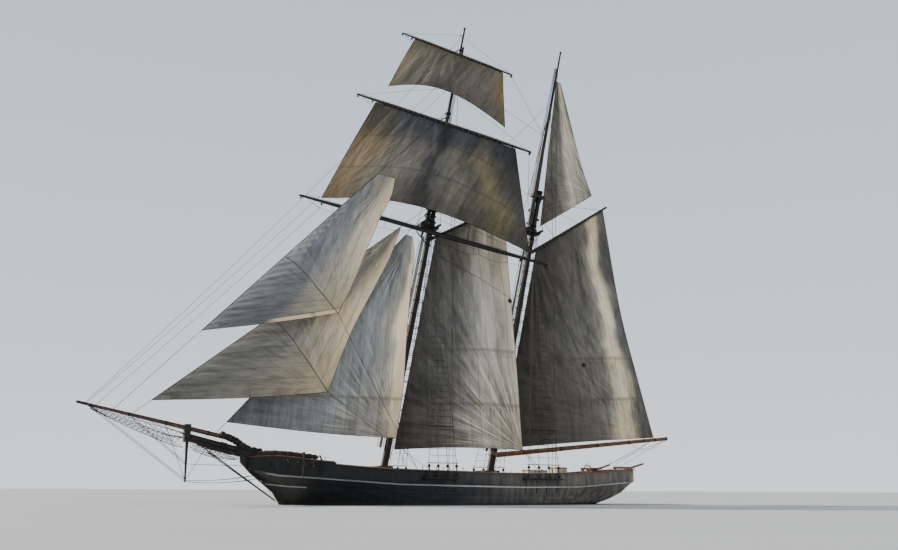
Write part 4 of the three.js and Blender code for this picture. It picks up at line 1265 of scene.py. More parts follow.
class SailLoft:
    """Makes the eight sails that are set."""

    def headsails(self) -> list[Sail]:
        """The three sails on the stays."""
        outer_luff, inner_luff = OUTER_STAY.luff(9.4, 20.25), JIB_STAY.luff(5.45, 16.95)
        outer_leech, inner_leech, stay_leech = (
            smooth_line(line, 40) for line in (
                ((7.92, 2.2, 10.63), (7.0, 1.85, 12.38), (5.8, 1.25, 15.22), (4.82, 0.7, 17.31),
                 (4.04, 0.33, 18.78), (3.68, 0.09, 20.08)),
                ((8.29, 2.0, 6.14), (6.95, 1.6, 9.53), (5.2, 1.0, 12.79), (4.15, 0.6, 14.74),
                 (3.3, 0.1, 16.7)),
                ((4.21, 2.25, 3.71), (3.66, 1.85, 6.74), (3.2, 1.2, 10.06), (2.8, 0.8, 13.08),
                 (2.4, 0.3, 15.3), (2.45, 0.06, 16.4)),
            )
        )
        # painted light: grey along the luff, growing to cream along the leech where the sun shines through,
        # and a painted highlight on the foot
        outer = Canvas(
            "outer_jib_canvas", mitre=half_clew(outer_leech, outer_luff), sunlit_tabling=0.34,
            tones_with_painted_light=((0.0, "#aeb1b6"), (0.45, "#b7b8b8"), (0.66, "#cfccc2"), (1.0, "#f1e9d3")),
        )
        # painted light: grey along the luff, growing to cream along the leech where the sun shines through
        inner = Canvas(
            "jib_canvas", mitre=half_clew(inner_leech, inner_luff),
            tones_with_painted_light=((0.0, "#aaa9a4"), (0.5, "#b3b0a7"), (0.75, "#cfc8b6"), (1.0, "#f0e8d2")),
        )
        # painted shade of the jib over the fore part and a painted lit strip along the leech; ridge adds
        # painted highlights on the folds
        stay = Canvas(
            "staysail_canvas", bands=(2.3,), crease=0.7, ridge=0.4,
            tones_with_painted_light=((0.0, "#959da5"), (0.55, "#a7adb2"), (0.82, "#b9b8b2"), (0.91, "#fbf2dc"),
                   (1.0, "#fbf2dc")),
        )
        common = {"side": PORT, "arch": -0.15, "body": "ship"}
        return [
            Sail(
                "outer_jib", fore=outer_luff, aft=outer_leech, belly=0.65, finish=outer, cut=Cut.MITRE,
                rests_on=("outer_jib_stay",), gathers=0.05, gather_count=22, **common, creases=(
                    Creases((1, 0), 140, 56, 17, 0.075, 6.5, 11), Creases((0.6, 1), -95, 30, 9, 0.06, 6, 13),
                ),
            ),
            Sail(
                "jib", fore=inner_luff, aft=inner_leech, belly=0.62, finish=inner, cut=Cut.MITRE,
                rests_on=("jib_stay",), gathers=0.06, gather_count=24, **common, creases=(
                    Creases((1, 0), 146, 55, 21, 0.09, 7.5, 21), Creases((0.6, 1), -95, 30, 8, 0.05, 6, 23),
                ),
            ),
            Sail(
                "fore_staysail", fore=FORE_STAY.luff(4.43, 16.5), aft=stay_leech, belly=0.56, finish=stay,
                rests_on=("forestay",), gathers=0.05, gather_count=20, **common, creases=(
                    Creases((1, 0), 135, 46, 12, 0.08, 5.0, 31), Creases((0.5, 1), -92, 26, 9, 0.09, 9, 32),
                ),
            ),
        ]

    def gaff_sails(self) -> list[Sail]:
        """The foresail, the mainsail and the main gaff topsail."""
        peak = FORE_GAFF.under(5.4)
        fore_leech = smooth_line([(-3.7, 2.95, 3.19), (-3.45, 2.85, 7.7), (-3.2, 2.65, 12.21), peak], 40)
        clew = MAIN_BOOM.at(10.9) + MAIN.axis * 0.16
        main_leech = smooth_line([clew, (-13.0, 2.4, 7.6), (-11.95, 2.15, 12.27), MAIN_GAFF.under(6.5)], 40)
        head = MAIN.at(28.8, -0.09, 0.03)
        top_leech = smooth_line([(-10.6, 1.15, 20.74), (-10.05, 0.85, 22.9), (-9.5, 0.45, 26.2), head], 40)
        top_luff = [MAIN.at(17.7, -0.48), MAIN.at(28.85, MAIN.top_ahead - MAIN.top_radius(28.83) - 0.0003)]
        # painted light and shade: dark along the luff, pale towards the leech; ridge adds painted highlights
        # on the folds near the clew
        lower = Canvas(
            "foresail_canvas", bands=(2.6, 5.9), crease=1.7, crease_mm=310, ridge=0.85,
            tones_with_painted_light=((0.0, "#6f6e69"), (0.34, "#85837e"), (0.47, "#a3a29d"), (0.66, "#dcd9d0"),
                   (0.85, "#cfcbc0"), (1.0, "#f0e9d8")),
        )
        # painted light and shade: a dark luff third, a bright painted lit strip about three quarters across,
        # grey again at the leech
        big = Canvas(
            "mainsail_canvas", bands=(2.6, 5.3),
            tones_with_painted_light=((0.0, "#54524a"), (0.25, "#696760"), (0.58, "#888680"), (0.71, "#a8a59b"),
                   (0.79, "#f6eedb"), (0.85, "#ebe2cd"), (0.92, "#8d8c88"), (1.0, "#787876")),
        )
        # painted light: a bright band past the middle; ridge adds painted highlights on the folds
        light = Canvas(
            "gaff_topsail_canvas", ridge=0.6,
            tones_with_painted_light=((0.0, "#8d8a80"), (0.35, "#a5a196"), (0.6, "#eae5d8"), (0.82, "#c9c5ba"),
                   (1.0, "#97938a")),
        )
        return [
            Sail(
                "foresail", "gaff_fore", [FORE.at(2.05, -0.42), FORE_GAFF.under(0.48)], fore_leech,
                belly=0.42, side=PORT, arch=0.12, finish=lower, rests_on=("fore_gaff",), creases=(
                    Creases((1, 0), 122, 36, 15, 0.17, 6.5, 41), Creases((0, 1), -60, 26, 7, 0.06, 6, 43),
                    Creases((0.72, 1.45), -90, 20, 13, 0.16, 3.8, 42, 4.2),
                ),
            ),
            Sail(
                "mainsail", "boom_main", [MAIN.at(2.35, -0.43), MAIN_GAFF.under(0.5)], main_leech,
                belly=0.52, side=PORT, arch=0.06, finish=big, rests_on=("main_gaff", "main_boom"), creases=(
                    Creases((0, 1), -62, 30, 11, 0.13, 9, 51), Creases((1, 0), 118, 30, 12, 0.10, 5.5, 52),
                    Creases((0.55, 1), -82, 26, 7, 0.09, 9, 53),
                ),
            ),
            Sail(
                "main_gaff_topsail", "boom_main", top_luff, top_leech,
                belly=0.33, side=PORT, arch=0, finish=light, rests_on=("main_topmast",), creases=(
                    Creases((1, 0), 138, 50, 12, 0.07, 4.0, 61), Creases((0.5, 1), -90, 22, 7, 0.09, 8, 62),
                ),
            ),
        ]

    def square_sails(self) -> list[Sail]:
        """The fore topsail and the topgallant sail."""
        # painted shade of the foremast as a dark band at the middle, painted light and shade in the other
        # bands, and painted shade along the head in ends
        top = Canvas(
            "fore_topsail_canvas", bands=(2.4, 4.9), band_m=0.16, crease=0.45,
            tones_with_painted_light=((0.0, "#6b6a66"), (0.1, "#85827a"), (0.17, "#b2a687"), (0.25, "#8a867c"),
                   (0.34, "#a6a194"), (0.42, "#94928d"), (0.46, "#5e5e5c"), (0.54, "#94928d"),
                   (0.76, "#a09d96"), (0.9, "#b09f84"), (1.0, "#a08f74")),
            ends=((0.0, "#ded9cf"), (0.35, "#fffdf6"), (0.68, "#f2efe8"), (0.84, "#b6bdc8"),
                  (1.0, "#aab3bf")),
        )
        high = Canvas(
            "topgallant_canvas", crease=0.45,
            tones_with_painted_light=((0.0, "#b09d7b"), (0.12, "#9d9688"), (0.5, "#8f897d"), (0.9, "#9b9485"), (1.0, "#b39c74")),
        )
        common = {
            "cut": Cut.HEAD, "deep": 0.5, "held": "hung", "across": 136, "up": 112,
            "creases": (
                Creases((0, 0), 55, 42, 12, 0.035, 5, 71), Creases((1, 0), 125, 42, 12, 0.05, 5, 72),
                Creases((0.72, 1.9), -90, 34, 15, 0.11, 7, 73, 3.0),
            ),
        }
        low_clews = COURSE.at(7.447, 0, 0.458), COURSE.at(-7.221, 0, 0.227)
        high_clews = TOPGALLANT.at(5.965, 0, -3.602), TOPGALLANT.at(-3.094, 0, -4.042)
        made = []
        for node, name, yard, head, clews, belly, arch, finish in (
            ("fore_topsail", "topsail", TOPSAIL, TOPSAIL_HEAD, low_clews, 0.7, 0.9, top),
            ("topgallant_sail", "topgallant", TOPGALLANT, TOPGALLANT_HEAD, high_clews, 0.42, 0.95, high),
        ):
            out = yard.way(0, 1)
            ends = [yard.at(along, 0, -yard.r - 0.0003) for along in head]
            fore, aft = (smooth_line([c, c.lerp(e, 0.5) + out * 0.08, e], 40) for c, e in zip(clews, ends))
            made.append(Sail(
                node, "yard_" + name, fore, aft, belly, out, arch, finish, rests_on=(name + "_yard",),
                **common,
            ))
        return made

    def build(self) -> dict[str, Sail]:
        """Makes every sail, and gives them by node."""
        sails = self.headsails() + self.gaff_sails() + self.square_sails()
        for sail in sails:
            sail.build()
        return {sail.node: sail for sail in sails}


class Side:
    """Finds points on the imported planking."""

    NODES = ("hull", "bulwark_port", "bulwark_starboard", "stem", "transom", "keel", "sternpost")

    def __init__(self) -> None:
        """Reads the planking's faces once."""
        planking = Form()
        for name in self.NODES:
            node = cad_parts[name]
            points = (node.matrix_world @ v.co for v in node.data.vertices)
            planking.add(points, (face.vertices for face in node.data.polygons))
        self.tree = BVHTree.FromPolygons(planking.points, planking.faces)

    def at(self, x: float, z: float, k: int, off: float = 0.0) -> Vector | None:
        """The planking's outside at a station and height, on side k, stood off."""
        hit, normal, _, _ = self.tree.ray_cast(Vector((x, k * 8, z)), PORT * -k)
        return None if hit is None else hit + normal * math.copysign(off, off * normal.y * k)


@dataclass
class HullTrim:
    """Mouldings, chainplates and hawse pipes on the planking."""

    side: Side
    stripe: Sequence[Point] = (
        (-12.13, 1.37), (-10.9, 1.28), (-7.65, 1.05), (-3.55, 1.01), (1.41, 1.08), (4.44, 1.13), (6.15, 1.24),
        (7.93, 1.35), (9.31, 1.45), (10.74, 1.55), (11.5, 1.71), (11.95, 1.86),
    )
    bow_stripe: Sequence[Point] = ((9.3, 0.93), (10.2, 0.99), (10.99, 1.10), (11.6, 1.40))
    plate_half: float = 0.028
    hawse_holes: Sequence[Point] = ((11.15, 2.12, 0.10), (10.4, 2.08, 0.08))
    scuppers: Sequence[float] = (6.2, 4.3, 0.1, -1.6, -3.0, -7.4, -9.0)

    def moulding(
        self, name: str, rows: Sequence[Point], drop: float, high: float, thick: float, finish: Finish
    ) -> None:
        """A batten along both sides.

        Args:
            name: the piece's name.
            rows: x and height of its line.
            drop: how far below that line it runs.
            high: its height.
            thick: how far it stands off the planking.
            finish: what it is made of.
        """
        form = Form()
        for k in SIDES:
            rings = []
            for x in np.arange(rows[0][0], rows[-1][0] + 0.01, 0.1).tolist():
                z = table(rows, x) - drop
                low, top = (self.side.at(x, z + half, k, -0.01) for half in (-high / 2, high / 2))
                if low is None or top is None or abs(low.y - top.y) > 0.6:
                    continue
                out = PORT * (k * (thick + 0.01))
                rings.append([low, low + out, top + out, top])
            if len(rings) > 2:
                form.rings(rings)
        form.piece(name, finish, "hull_paint", smooth=False)

    def chainplates(self) -> None:
        """Iron straps from each channel down the side, with their bolts."""
        form, head, bolts = Form(), Form(), []
        section = [(a * self.plate_half, b) for a, b in ((-1, -0.02), (1, -0.02), (1, 0.008), (-1, 0.008))]
        for x in FORE_FEET + MAIN_FEET:
            for k in SIDES:
                line = [self.side.at(x + 0.02, z, k, 0.012) for z in np.linspace(0.6, 1.40, 9)]
                line = [p for p in line if p is not None]
                form.rings([[p + AHEAD * dx + PORT * (k * dy) for dx, dy in section] for p in line])
                bolts += [Spot(line[i] + PORT * (k * 0.008), PORT * k) for i in (0, 3)]
        form.piece("chainplates", IRON, "hull_paint", smooth=False)
        head.lathe([(-0.01, 0.026), (0.008, 0.026), (0.018, 0.014), (0.02, 0.002)], 8)
        REPEAT.set_out("chainplate_bolts", head, bolts, IRON, "hull_paint")

    def openings(self) -> None:
        """Cast rings where the cables leave the bow, and the scuppers along the waist."""
        rings, slots = Form(), Form()
        for k in SIDES:
            for x, z, r in self.hawse_holes:
                rings.ring(self.side.at(x, z, k, 0.01), Vector((0.35, k, 0.05)), r, 0.028, 22, 8)
        rings.piece("hawse_rings", IRON, "hull_paint")
        half = Vector((0.11, 0.012, 0.025))
        for x in self.scuppers:
            for k in SIDES:
                slots.block(-half, half, None, self.side.at(x, edge_z(x) + 0.10, k))
        slots.piece("scupper_lips", IRON, "hull_paint", smooth=False)

    def build(self) -> None:
        """Makes the side's fittings."""
        self.moulding("white_stripe", self.stripe, 0.0, 0.075, 0.034, STRIPE)
        self.moulding("bow_stripe", self.bow_stripe, 0.0, 0.06, 0.034, STRIPE)
        self.moulding("upper_wale", self.stripe, -0.16, 0.05, 0.03, HULL_PAINT)
        self.moulding("lower_wale", self.stripe, 0.42, 0.11, 0.035, HULL_PAINT)
        self.chainplates()
        self.openings()


@dataclass
class Deck:
    """Belaying pins, coils, hatch boards and the cabin's lights."""

    pin_gap: float = 0.42
    pin_runs: Sequence[Point] = ((0.6, 3.4), (-6.4, -3.2), (8.6, 10.4))
    coil_places: Sequence[Point] = (
        (7.8, 1.4), (7.7, -1.5), (2.9, 1.9), (3.0, -1.8), (-3.4, 2.2), (-4.0, -2.2), (-9.3, 1.7),
        (-9.4, -1.6),
    )
    hatch_edge: float = 0.05
    boards: int = 9

    def pins(self) -> None:
        """Belaying pins in the rails, and the coils that hang on most of them."""
        spots = []
        for low, high in self.pin_runs:
            for x in np.arange(low, high, self.pin_gap).tolist():
                for k in SIDES:
                    spots.append(Spot(Vector((x, k * (edge_y(x) + 0.02), rail_z(x) + 0.005))))
        pin, coil = Form(), Form()
        shank = [(-0.13, 0.012), (-0.03, 0.013), (0.0, 0.022), (0.02, 0.02)]
        pin.lathe(shank + [(0.10, 0.024), (0.16, 0.03), (0.19, 0.022), (0.20, 0.004)], 8)
        REPEAT.set_out("belaying_pins", pin, spots, VARNISH, "varnished_wood", uneven=0.06)
        rng = random.Random(4)
        for turn in range(4):
            axis = Vector((rng.uniform(0.7, 1.0), 0.25 * rng.uniform(-1, 1), 0.1))
            coil.ring(UP * (-0.16 - 0.02 * turn), axis, 0.13 + 0.012 * turn, 0.014, 18)
        hung = [
            Spot(spot.at + Vector((0, math.copysign(0.09, -spot.at.y), -0.02)), UP, PORT)
            for i, spot in enumerate(spots) if i % 3
        ]
        REPEAT.set_out("hung_coils", coil, hung, MANILA, "tarred_rope", uneven=0.15, seed=11)

    def coils(self) -> None:
        """Ropes flaked down on deck."""
        flakes = Form()
        for n in range(7):
            flakes.ring(UP * (0.03 + 0.026 * (n % 3)), UP, 0.13 + 0.035 * n, 0.015, 26)
        laid = [Spot(Vector((x, y, deck_top(x, y) - 0.01))) for x, y in self.coil_places]
        REPEAT.set_out("laid_coils", flakes, laid, MANILA, "tarred_rope", uneven=0.12, seed=5)

    def hatches(self) -> None:
        """Boards and battens over both hatches."""
        form, cloth = Form(), Form()
        for node in ("fore_hatch", "main_hatch"):
            (x0, y0, _), (x1, y1, top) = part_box(node)
            wide = (x1 - x0 - 2 * self.hatch_edge) / self.boards
            for i in range(self.boards):
                x = x0 + self.hatch_edge + wide * i
                low = (x + 0.006, y0 + self.hatch_edge, top - 0.002)
                form.block(low, (x + wide - 0.006, y1 - self.hatch_edge, top + 0.022))
            for y in (y0 - 0.012, y1 - 0.016):
                cloth.block((x0 + 0.03, y, top - 0.10), (x1 - 0.03, y + 0.028, top - 0.055))
        form.piece("hatch_boards", FITTING, "deck_timber", smooth=False, bevel=0.004)
        cloth.piece("hatch_battens", IRON, "deck_timber", smooth=False)

    def cabin(self) -> None:
        """Brass-rimmed lights, a slatted skylight and a companion slide on the trunk cabin."""
        z = deck_top(-6.8)
        rims, panes, tops, slats = Form(), Form(), Form(), Form()
        for x in (-7.85, -7.15, -6.45, -5.75):
            for k in SIDES:
                at = Vector((x, k * 1.15, z + 0.24))
                rims.ring(at, PORT * k, 0.085, 0.018, 24, 8)
                panes.lathe([(-0.004, 0.082), (0.006, 0.082)], 24, at, PORT * k)
        rims.piece("cabin_light_rims", BRASS, "cabin_paint")
        panes.piece("cabin_light_panes", GLASS, "cabin_paint", smooth=False)
        # middle, half lengths and top of the skylight and of the companion, over their own coamings
        for x, y, long, wide, high in ((-6.3, 0.0, 0.65, 0.45, 0.82), (-7.9, 0.3, 0.4, 0.4, 1.01)):
            top = z + high
            reach = long + 0.03, wide + 0.03
            tops.block((x - reach[0], y - reach[1], top - 0.005), (x + reach[0], y + reach[1], top + 0.05))
            for at in np.linspace(x - long + 0.05, x + long - 0.05, 9).tolist():
                low = (at - 0.012, y - wide + 0.02, top + 0.049)
                slats.block(low, (at + 0.012, y + wide - 0.02, top + 0.066))
        tops.piece("skylight_and_slide", VARNISH, "cabin_paint", smooth=False, bevel=0.012)
        slats.piece("skylight_bars", BRASS, "cabin_paint", smooth=False)

    def build(self) -> None:
        """Makes the deck's small things."""
        self.pins()
        self.coils()
        self.hatches()
        self.cabin()


@dataclass
class HeadGear:
    """Bobstays, martingale, nets, whiskers and anchors."""

    striker: Point = (15.40, 0, 1.22)
    whisker_end: Point = (16.15, 1.65, 3.72)
    bow_foot: Point = (10.45, 0, 2.32)
    bow_head: Point = (15.48, 0, 3.55)

    def stays(self) -> None:
        """Chains and ropes below the jibboom, whisker booms and guys."""
        low = Vector(self.striker)
        lines = []
        for x, foot in ((20.55, 0.0), (20.35, 0.10), (18.5, 0.85), (18.35, 0.95), (16.6, 0.05)):
            lines.append([jibboom_line(x) - UP * jibboom_radius(x), low + UP * foot])
        lines.append(hang(low + Vector((0, 0.02, 0.92)), (12.45, 0.07, 2.1), 0.02))
        for foot, end, sag in ((0.06, (11.86, 0.46, 1.55), 0.10), (0.0, (11.7, 0.58, 1.37), 0.13)):
            lines += [hang(low + Vector((0, k * 0.02, foot)), mirror(end, k), sag) for k in SIDES]
        lines.append([low + Vector((-0.03, 0, 0.1)), (14.5, 0, 2.85)])
        ROPE.lay("martingale_stays", lines, 0.015)
        bobstays = [[(14.62, k * 0.05, 3.07), (10.5, k * 0.05, 0.26)] for k in SIDES]
        ROPE.lay("bobstays", bobstays + [[(14.34, 0, 2.78), (10.44, 0, 0.2)]], 0.026)
        guys, booms = [], Form()
        for k in SIDES:
            end = mirror(self.whisker_end, k)
            booms.bar([mirror((15.3, 0.26, 3.5), k), end], [0.05, 0.035])
            guys += [[jibboom_line(x) + PORT * (k * jibboom_radius(x)), end] for x in (20.5, 18.4)]
            guys.append([end, mirror((10.9, 1.62, 2.55), k)])
            guys.append([mirror((15.2, 0.28, 3.3), k), mirror((11.2, 1.34, 2.3), k)])
        booms.piece("whisker_booms", SPAR, "spar_paint")
        ROPE.lay("jibboom_guys", guys, 0.011)

    def net(self, name: str, head: Sequence[Point], belly: Sequence[Point], count: int) -> None:
        """A rope net slung between two guys, its mesh in diamonds.

        Args:
            name: the piece's name.
            head: both ends of the port guy it hangs from; the starboard one mirrors it.
            belly: the line of the net's lowest part.
            count: meshes along it.
        """
        twine, edge = [], []
        low = smooth_line(belly, count + 1)
        for k in SIDES:
            start, end = (mirror(p, k) for p in head)
            high = [start.lerp(end, i / count) - UP * (0.03 * (i % 2)) for i in range(count + 1)]
            rows = [high]
            for r in (0.33, 0.66):
                rows.append([h.lerp(w, r) - UP * (0.10 * math.sin(math.pi * r)) for h, w in zip(high, low)])
            for upper, lower in zip(rows, rows[1:] + [low]):
                for i in range(1, count, 2):
                    twine += [[upper[i], lower[i + 1]], [lower[i - 1], upper[i]]]
            edge += [rows[1], high]
        ROPE.lay(name, twine, 0.009, sides=5)
        ROPE.lay(name + "_ropes", edge + [low], 0.014)

    def nets(self) -> None:
        """The nets below jibboom and bowsprit."""
        head = (20.5, 0.10, 5.0), (16.15, 1.60, 3.72)
        belly = (20.3, 0, 4.86), (19.0, 0, 4.20), (17.4, 0, 3.55), (16.0, 0, 3.05), (15.65, 0, 3.0)
        self.net("jibboom_net", head, belly, 34)
        head = (15.3, 1.1, 3.35), (12.6, 0.95, 2.55)
        belly = (15.1, 0, 2.85), (14.2, 0, 2.55), (13.2, 0, 2.42), (12.75, 0, 2.45)
        self.net("bowsprit_net", head, belly, 22)

    def stowed(self) -> None:
        """Headsail covers and hammocks lashed along jibboom heel, bowsprit and bow rails."""
        rng = random.Random(6)
        form, ties = Form(), Form()
        rail = [(x, edge_y(x) - 0.05, rail_z(x) + 0.12) for x in (11.9, 11.2, 10.4, 9.6, 8.9)]
        horns = ((14.9, 0.27, 3.25), (13.9, 0.30, 2.96), (12.9, 0.33, 2.72))
        runs = [(((13.75, 0.05, 3.78), (12.9, 0.04, 3.45), (12.1, 0.0, 2.98), (11.3, 0, 2.86)), 0.19)]
        for line, thick in ((rail, 0.13), (horns, 0.09)):
            runs += [([mirror(p, k) for p in line], thick) for k in SIDES]
        for points, thick in runs:
            line = smooth_line(points, 34)
            girths = [0.35 if i in (0, 33) else rng.uniform(0.78, 1.15) for i in range(34)]
            form.bar(line, [thick * girth for girth in girths], 12)
            for i in range(3, 32, 5):
                ties.ring(line[i], line[i + 1] - line[i - 1], thick * 1.02, 0.014, 16, 5)
        form.piece("stowed_covers", TARPAULIN, "canvas")
        ties.piece("stowage_ties", MANILA_DARK, "tarred_rope")

    def bindings(self) -> None:
        """Gammoning, the jibboom's heel lashing and its iron hoops."""
        form, hoops = Form(), Form()
        foot, run = Vector(self.bow_foot), Vector(self.bow_head) - Vector(self.bow_foot)
        for x0 in (12.55, 13.35):
            for i in range(7):
                at = foot + run * ((x0 + 0.052 * i - foot.x) / run.x)
                form.ring(at, run, 0.262 - 0.007 * (x0 - foot.x), 0.027)
        heel_way = jibboom_line(15.4) - jibboom_line(12.8)
        for i in range(6):
            form.ring(jibboom_line(13.0 + 0.05 * i), heel_way, 0.137, 0.024)
        form.piece("gammoning", TARRED, "tarred_rope")
        for x in (14.35, 16.6, 18.5, 20.45):
            way = (jibboom_line(x + 0.1) - jibboom_line(x - 0.1)).normalized()
            hoops.sleeve(jibboom_line(x), way, 0.04, jibboom_radius(x) + 0.012, 14)
        radii = [jibboom_radius(20.62) + 0.006, jibboom_radius(21.12) + 0.004]
        hoops.bar([jibboom_line(20.62), jibboom_line(21.12)], radii, 14)
        hoops.piece("jibboom_hoops", IRON, "spar_paint")

    def anchors(self) -> None:
        """Stocked anchors catted at the bow."""
        form, stock = Form(), Form()
        turns = np.linspace(-1.1, 1.1, 11)
        for k in SIDES:
            ring, crown = mirror((9.95, 2.98, 2.22), k), mirror((8.75, 2.92, 2.10), k)
            way = (crown - ring).normalized()
            form.bar([ring, crown], [0.036, 0.05])
            form.ring(ring - way * 0.1, UP, 0.10, 0.018, 18)
            arc = [crown - way * (0.36 * (1 - math.cos(a))) + UP * (0.52 * math.sin(a)) for a in turns]
            form.bar(arc, [0.02 + 0.03 * math.cos(a) for a in turns])
            for tip in (arc[1], arc[-2]):
                form.block((-0.02, -0.09, -0.12), (0.02, 0.09, 0.12), Matrix.Rotation(0.5, 3, "Y"), tip)
            middle = ring + way * 0.12 + PORT * (k * 0.06)
            stock.bar([middle + UP * 0.28, middle - UP * 0.75], 0.045)
        form.piece("anchors", IRON, "deck_timber")
        stock.piece("anchor_stocks", SPAR, "deck_timber")

    def build(self) -> None:
        """Makes the head gear."""
        self.stays()
        self.nets()
        self.stowed()
        self.bindings()
        self.anchors()


def block_form() -> Form:
    """A wooden block with its strop, hung from the origin."""
    form = Form()
    form.lathe([(-0.2, 0.004), (-0.19, 0.05), (-0.13, 0.078), (-0.07, 0.078), (-0.02, 0.045), (0, 0.006)], 10)
    for p in form.points:
        p.y *= 0.62
    form.ring(UP * -0.10, PORT, 0.098, 0.010, 16, 5)
    return form


@dataclass
class Shrouds:
    """Deadeyes, ratlines and topmast shrouds of one mast."""

    mast: Mast
    label: str
    feet: Sequence[float]
    top_s: float
    falls_aside: int
    low_eye: float = 1.66
    high_eye: float = 2.16
    rung_gap: float = 0.37

    def leg(self, i: int, k: int) -> tuple[Vector, Vector]:
        """Foot and head of one lower shroud."""
        top = self.mast.at(self.mast.doubling + 0.1453)
        x = self.feet[i]
        head = Vector((top.x + (i - 1.5) * 0.052, k * 0.325, top.z))
        return Vector((x, k * (edge_y(x) + 0.26), 1.495)), head

    def on(self, i: int, k: int, z: float) -> Vector:
        """The point of a shroud at a height."""
        a, b = self.leg(i, k)
        return a.lerp(b, (z - a.z) / (b.z - a.z))

    def build(self) -> None:
        """Makes this mast's standing dress."""
        rungs, lanyards, eyes, poles, eye = [], [], [], Form(), Form()
        count = len(self.feet)
        for k in SIDES:
            z = 2.75
            while z < self.mast.doubling - 0.9:
                pts = [self.on(i, k, z + 0.012 * math.sin(i * 3 + z)) for i in range(count)]
                line = []
                for a, b in zip(pts, pts[1:]):
                    line += [a, a.lerp(b, 0.5) - UP * (0.02 * min(1, (a - b).length))]
                rungs.append(line + pts[-1:])
                z += self.rung_gap + (0.0 if z < self.mast.doubling * 0.62 else 0.02)
            for i in range(count):
                a, b = self.leg(i, k)
                ends = [self.on(i, k, z) for z in (self.low_eye, self.high_eye)]
                eyes += [Spot(end, PORT * k, b - a) for end in ends]
                lanyards += [[end + Vector((d, k * 0.022, 0)) for end in ends] for d in (-0.035, 0, 0.035)]
            # the sheer pole, then the fairlead batten seized across the shrouds, clear of the rail
            for z, past, off, thick in ((2.32, 0.12, 0.03, 0.022), (4.4, 0.10, 0.035, 0.03)):
                fore, aft = (self.on(i, k, z) + PORT * (k * off) for i in (0, count - 1))
                poles.bar([fore + AHEAD * past, aft - AHEAD * past], thick)
        ROPE.lay(f"{self.label}_ratlines", rungs, 0.012, sides=5)
        ROPE.lay(f"{self.label}_lanyards", lanyards, 0.009, sides=5)
        half = [(0.012, 0.095), (0.04, 0.085), (0.045, 0.06)]
        eye.lathe([(-height, r) for height, r in reversed(half)] + half, 14)
        REPEAT.set_out(f"{self.label}_deadeyes", eye, eyes, SPAR, "spar_paint")
        poles.piece(f"{self.label}_sheer_poles", IRON, "tarred_rope")
        self.topmast()
        self.falls()
        self.tangle()

    def topmast(self) -> None:
        """Topmast shrouds, futtocks and backstays."""
        m, lines, back = self.mast, [], []
        low = m.doubling - 1.0
        for k in SIDES:
            for ahead in (-0.33, m.top_ahead + 0.33):
                rim = m.at(m.doubling + 0.11, ahead, k * 0.72)
                lines.append([rim, m.at(self.top_s, m.top_ahead, k * m.top_radius(self.top_s))])
                lines.append([rim, m.at(low, 0, k * (m.radius(low) + 0.02))])
            for x, s in ((self.feet[-1] + 0.30, self.top_s), (self.feet[-1] + 0.60, self.top_s + 3.2)):
                foot = Vector((x, k * (edge_y(x) + 0.31), 1.50))
                back.append([m.at(s, m.top_ahead, k * m.top_radius(s)), foot])
        ROPE.lay(f"{self.label}_topmast_shrouds", lines, 0.015)
        ROPE.lay(f"{self.label}_backstays", back, 0.014)

    def falls(self) -> None:
        """Halyard falls that run close by the mast, and the pairs that go on up the topmast."""
        m, lines = self.mast, []
        for k in SIDES:
            leads = (0.22, 0.36), (0.29, 0.28), (0.36, 0.2), (0.42, 0.13), (0.5, 0.22)
            for i, (dx, dy) in enumerate(leads):
                top = m.at(m.doubling - 0.5 - 0.12 * i, dx, k * dy * 0.8)
                lines.append(hang(top, m.at(2.0, dx * 1.15, k * dy * 1.2), 0.01))
            for dx in (0.12 * self.falls_aside, 0.20 * self.falls_aside):
                low = m.at(m.cap + 0.1, m.top_ahead + dx * 1.5, k * 0.20)
                lines.append([low, m.at(m.truck - 1.4, m.top_ahead + dx, k * 0.05)])
        ROPE.lay(f"{self.label}_halyard_falls", lines, 0.02, sides=5)

    def tangle(self) -> None:
        """Blocks and lashings crowded round the masthead, and the truck."""
        m, spots, wrap, truck = self.mast, [], Form(), Form()
        rng = random.Random(len(self.label))
        for _ in range(22):
            s = rng.uniform(m.doubling - 0.7, m.cap + 0.1)
            a = rng.uniform(0, 6.28)
            p = m.at(s, m.top_ahead / 2 + 0.36 * math.cos(a), 0.30 * math.sin(a))
            up = Vector((rng.uniform(-0.5, 0.5), rng.uniform(-0.5, 0.5), 1))
            spots.append(Spot(p, up, (math.cos(a), math.sin(a), 0), rng.uniform(0.7, 1.15)))
        name = f"{self.label}_masthead_blocks"
        REPEAT.set_out(name, block_form(), spots, SPAR, "spar_paint", uneven=0.15, seed=3)
        for s in (m.doubling - 0.55, m.doubling + 0.45, m.cap - 0.35, m.cap + 0.28):
            for i in range(5):
                wrap.ring(m.at(s + 0.035 * i), m.axis, m.radius(s) + 0.012, 0.018, 18, 5)
        wrap.piece(f"{self.label}_masthead_lashings", TARRED, "tarred_rope")
        profile = [(-0.03, 0.05), (0.0, 0.085), (0.05, 0.085), (0.08, 0.04), (0.085, 0.005)]
        truck.lathe(profile, 14, m.at(m.truck, m.top_ahead), m.axis)
        truck.piece(f"{self.label}_truck", SPAR, "spar_paint")


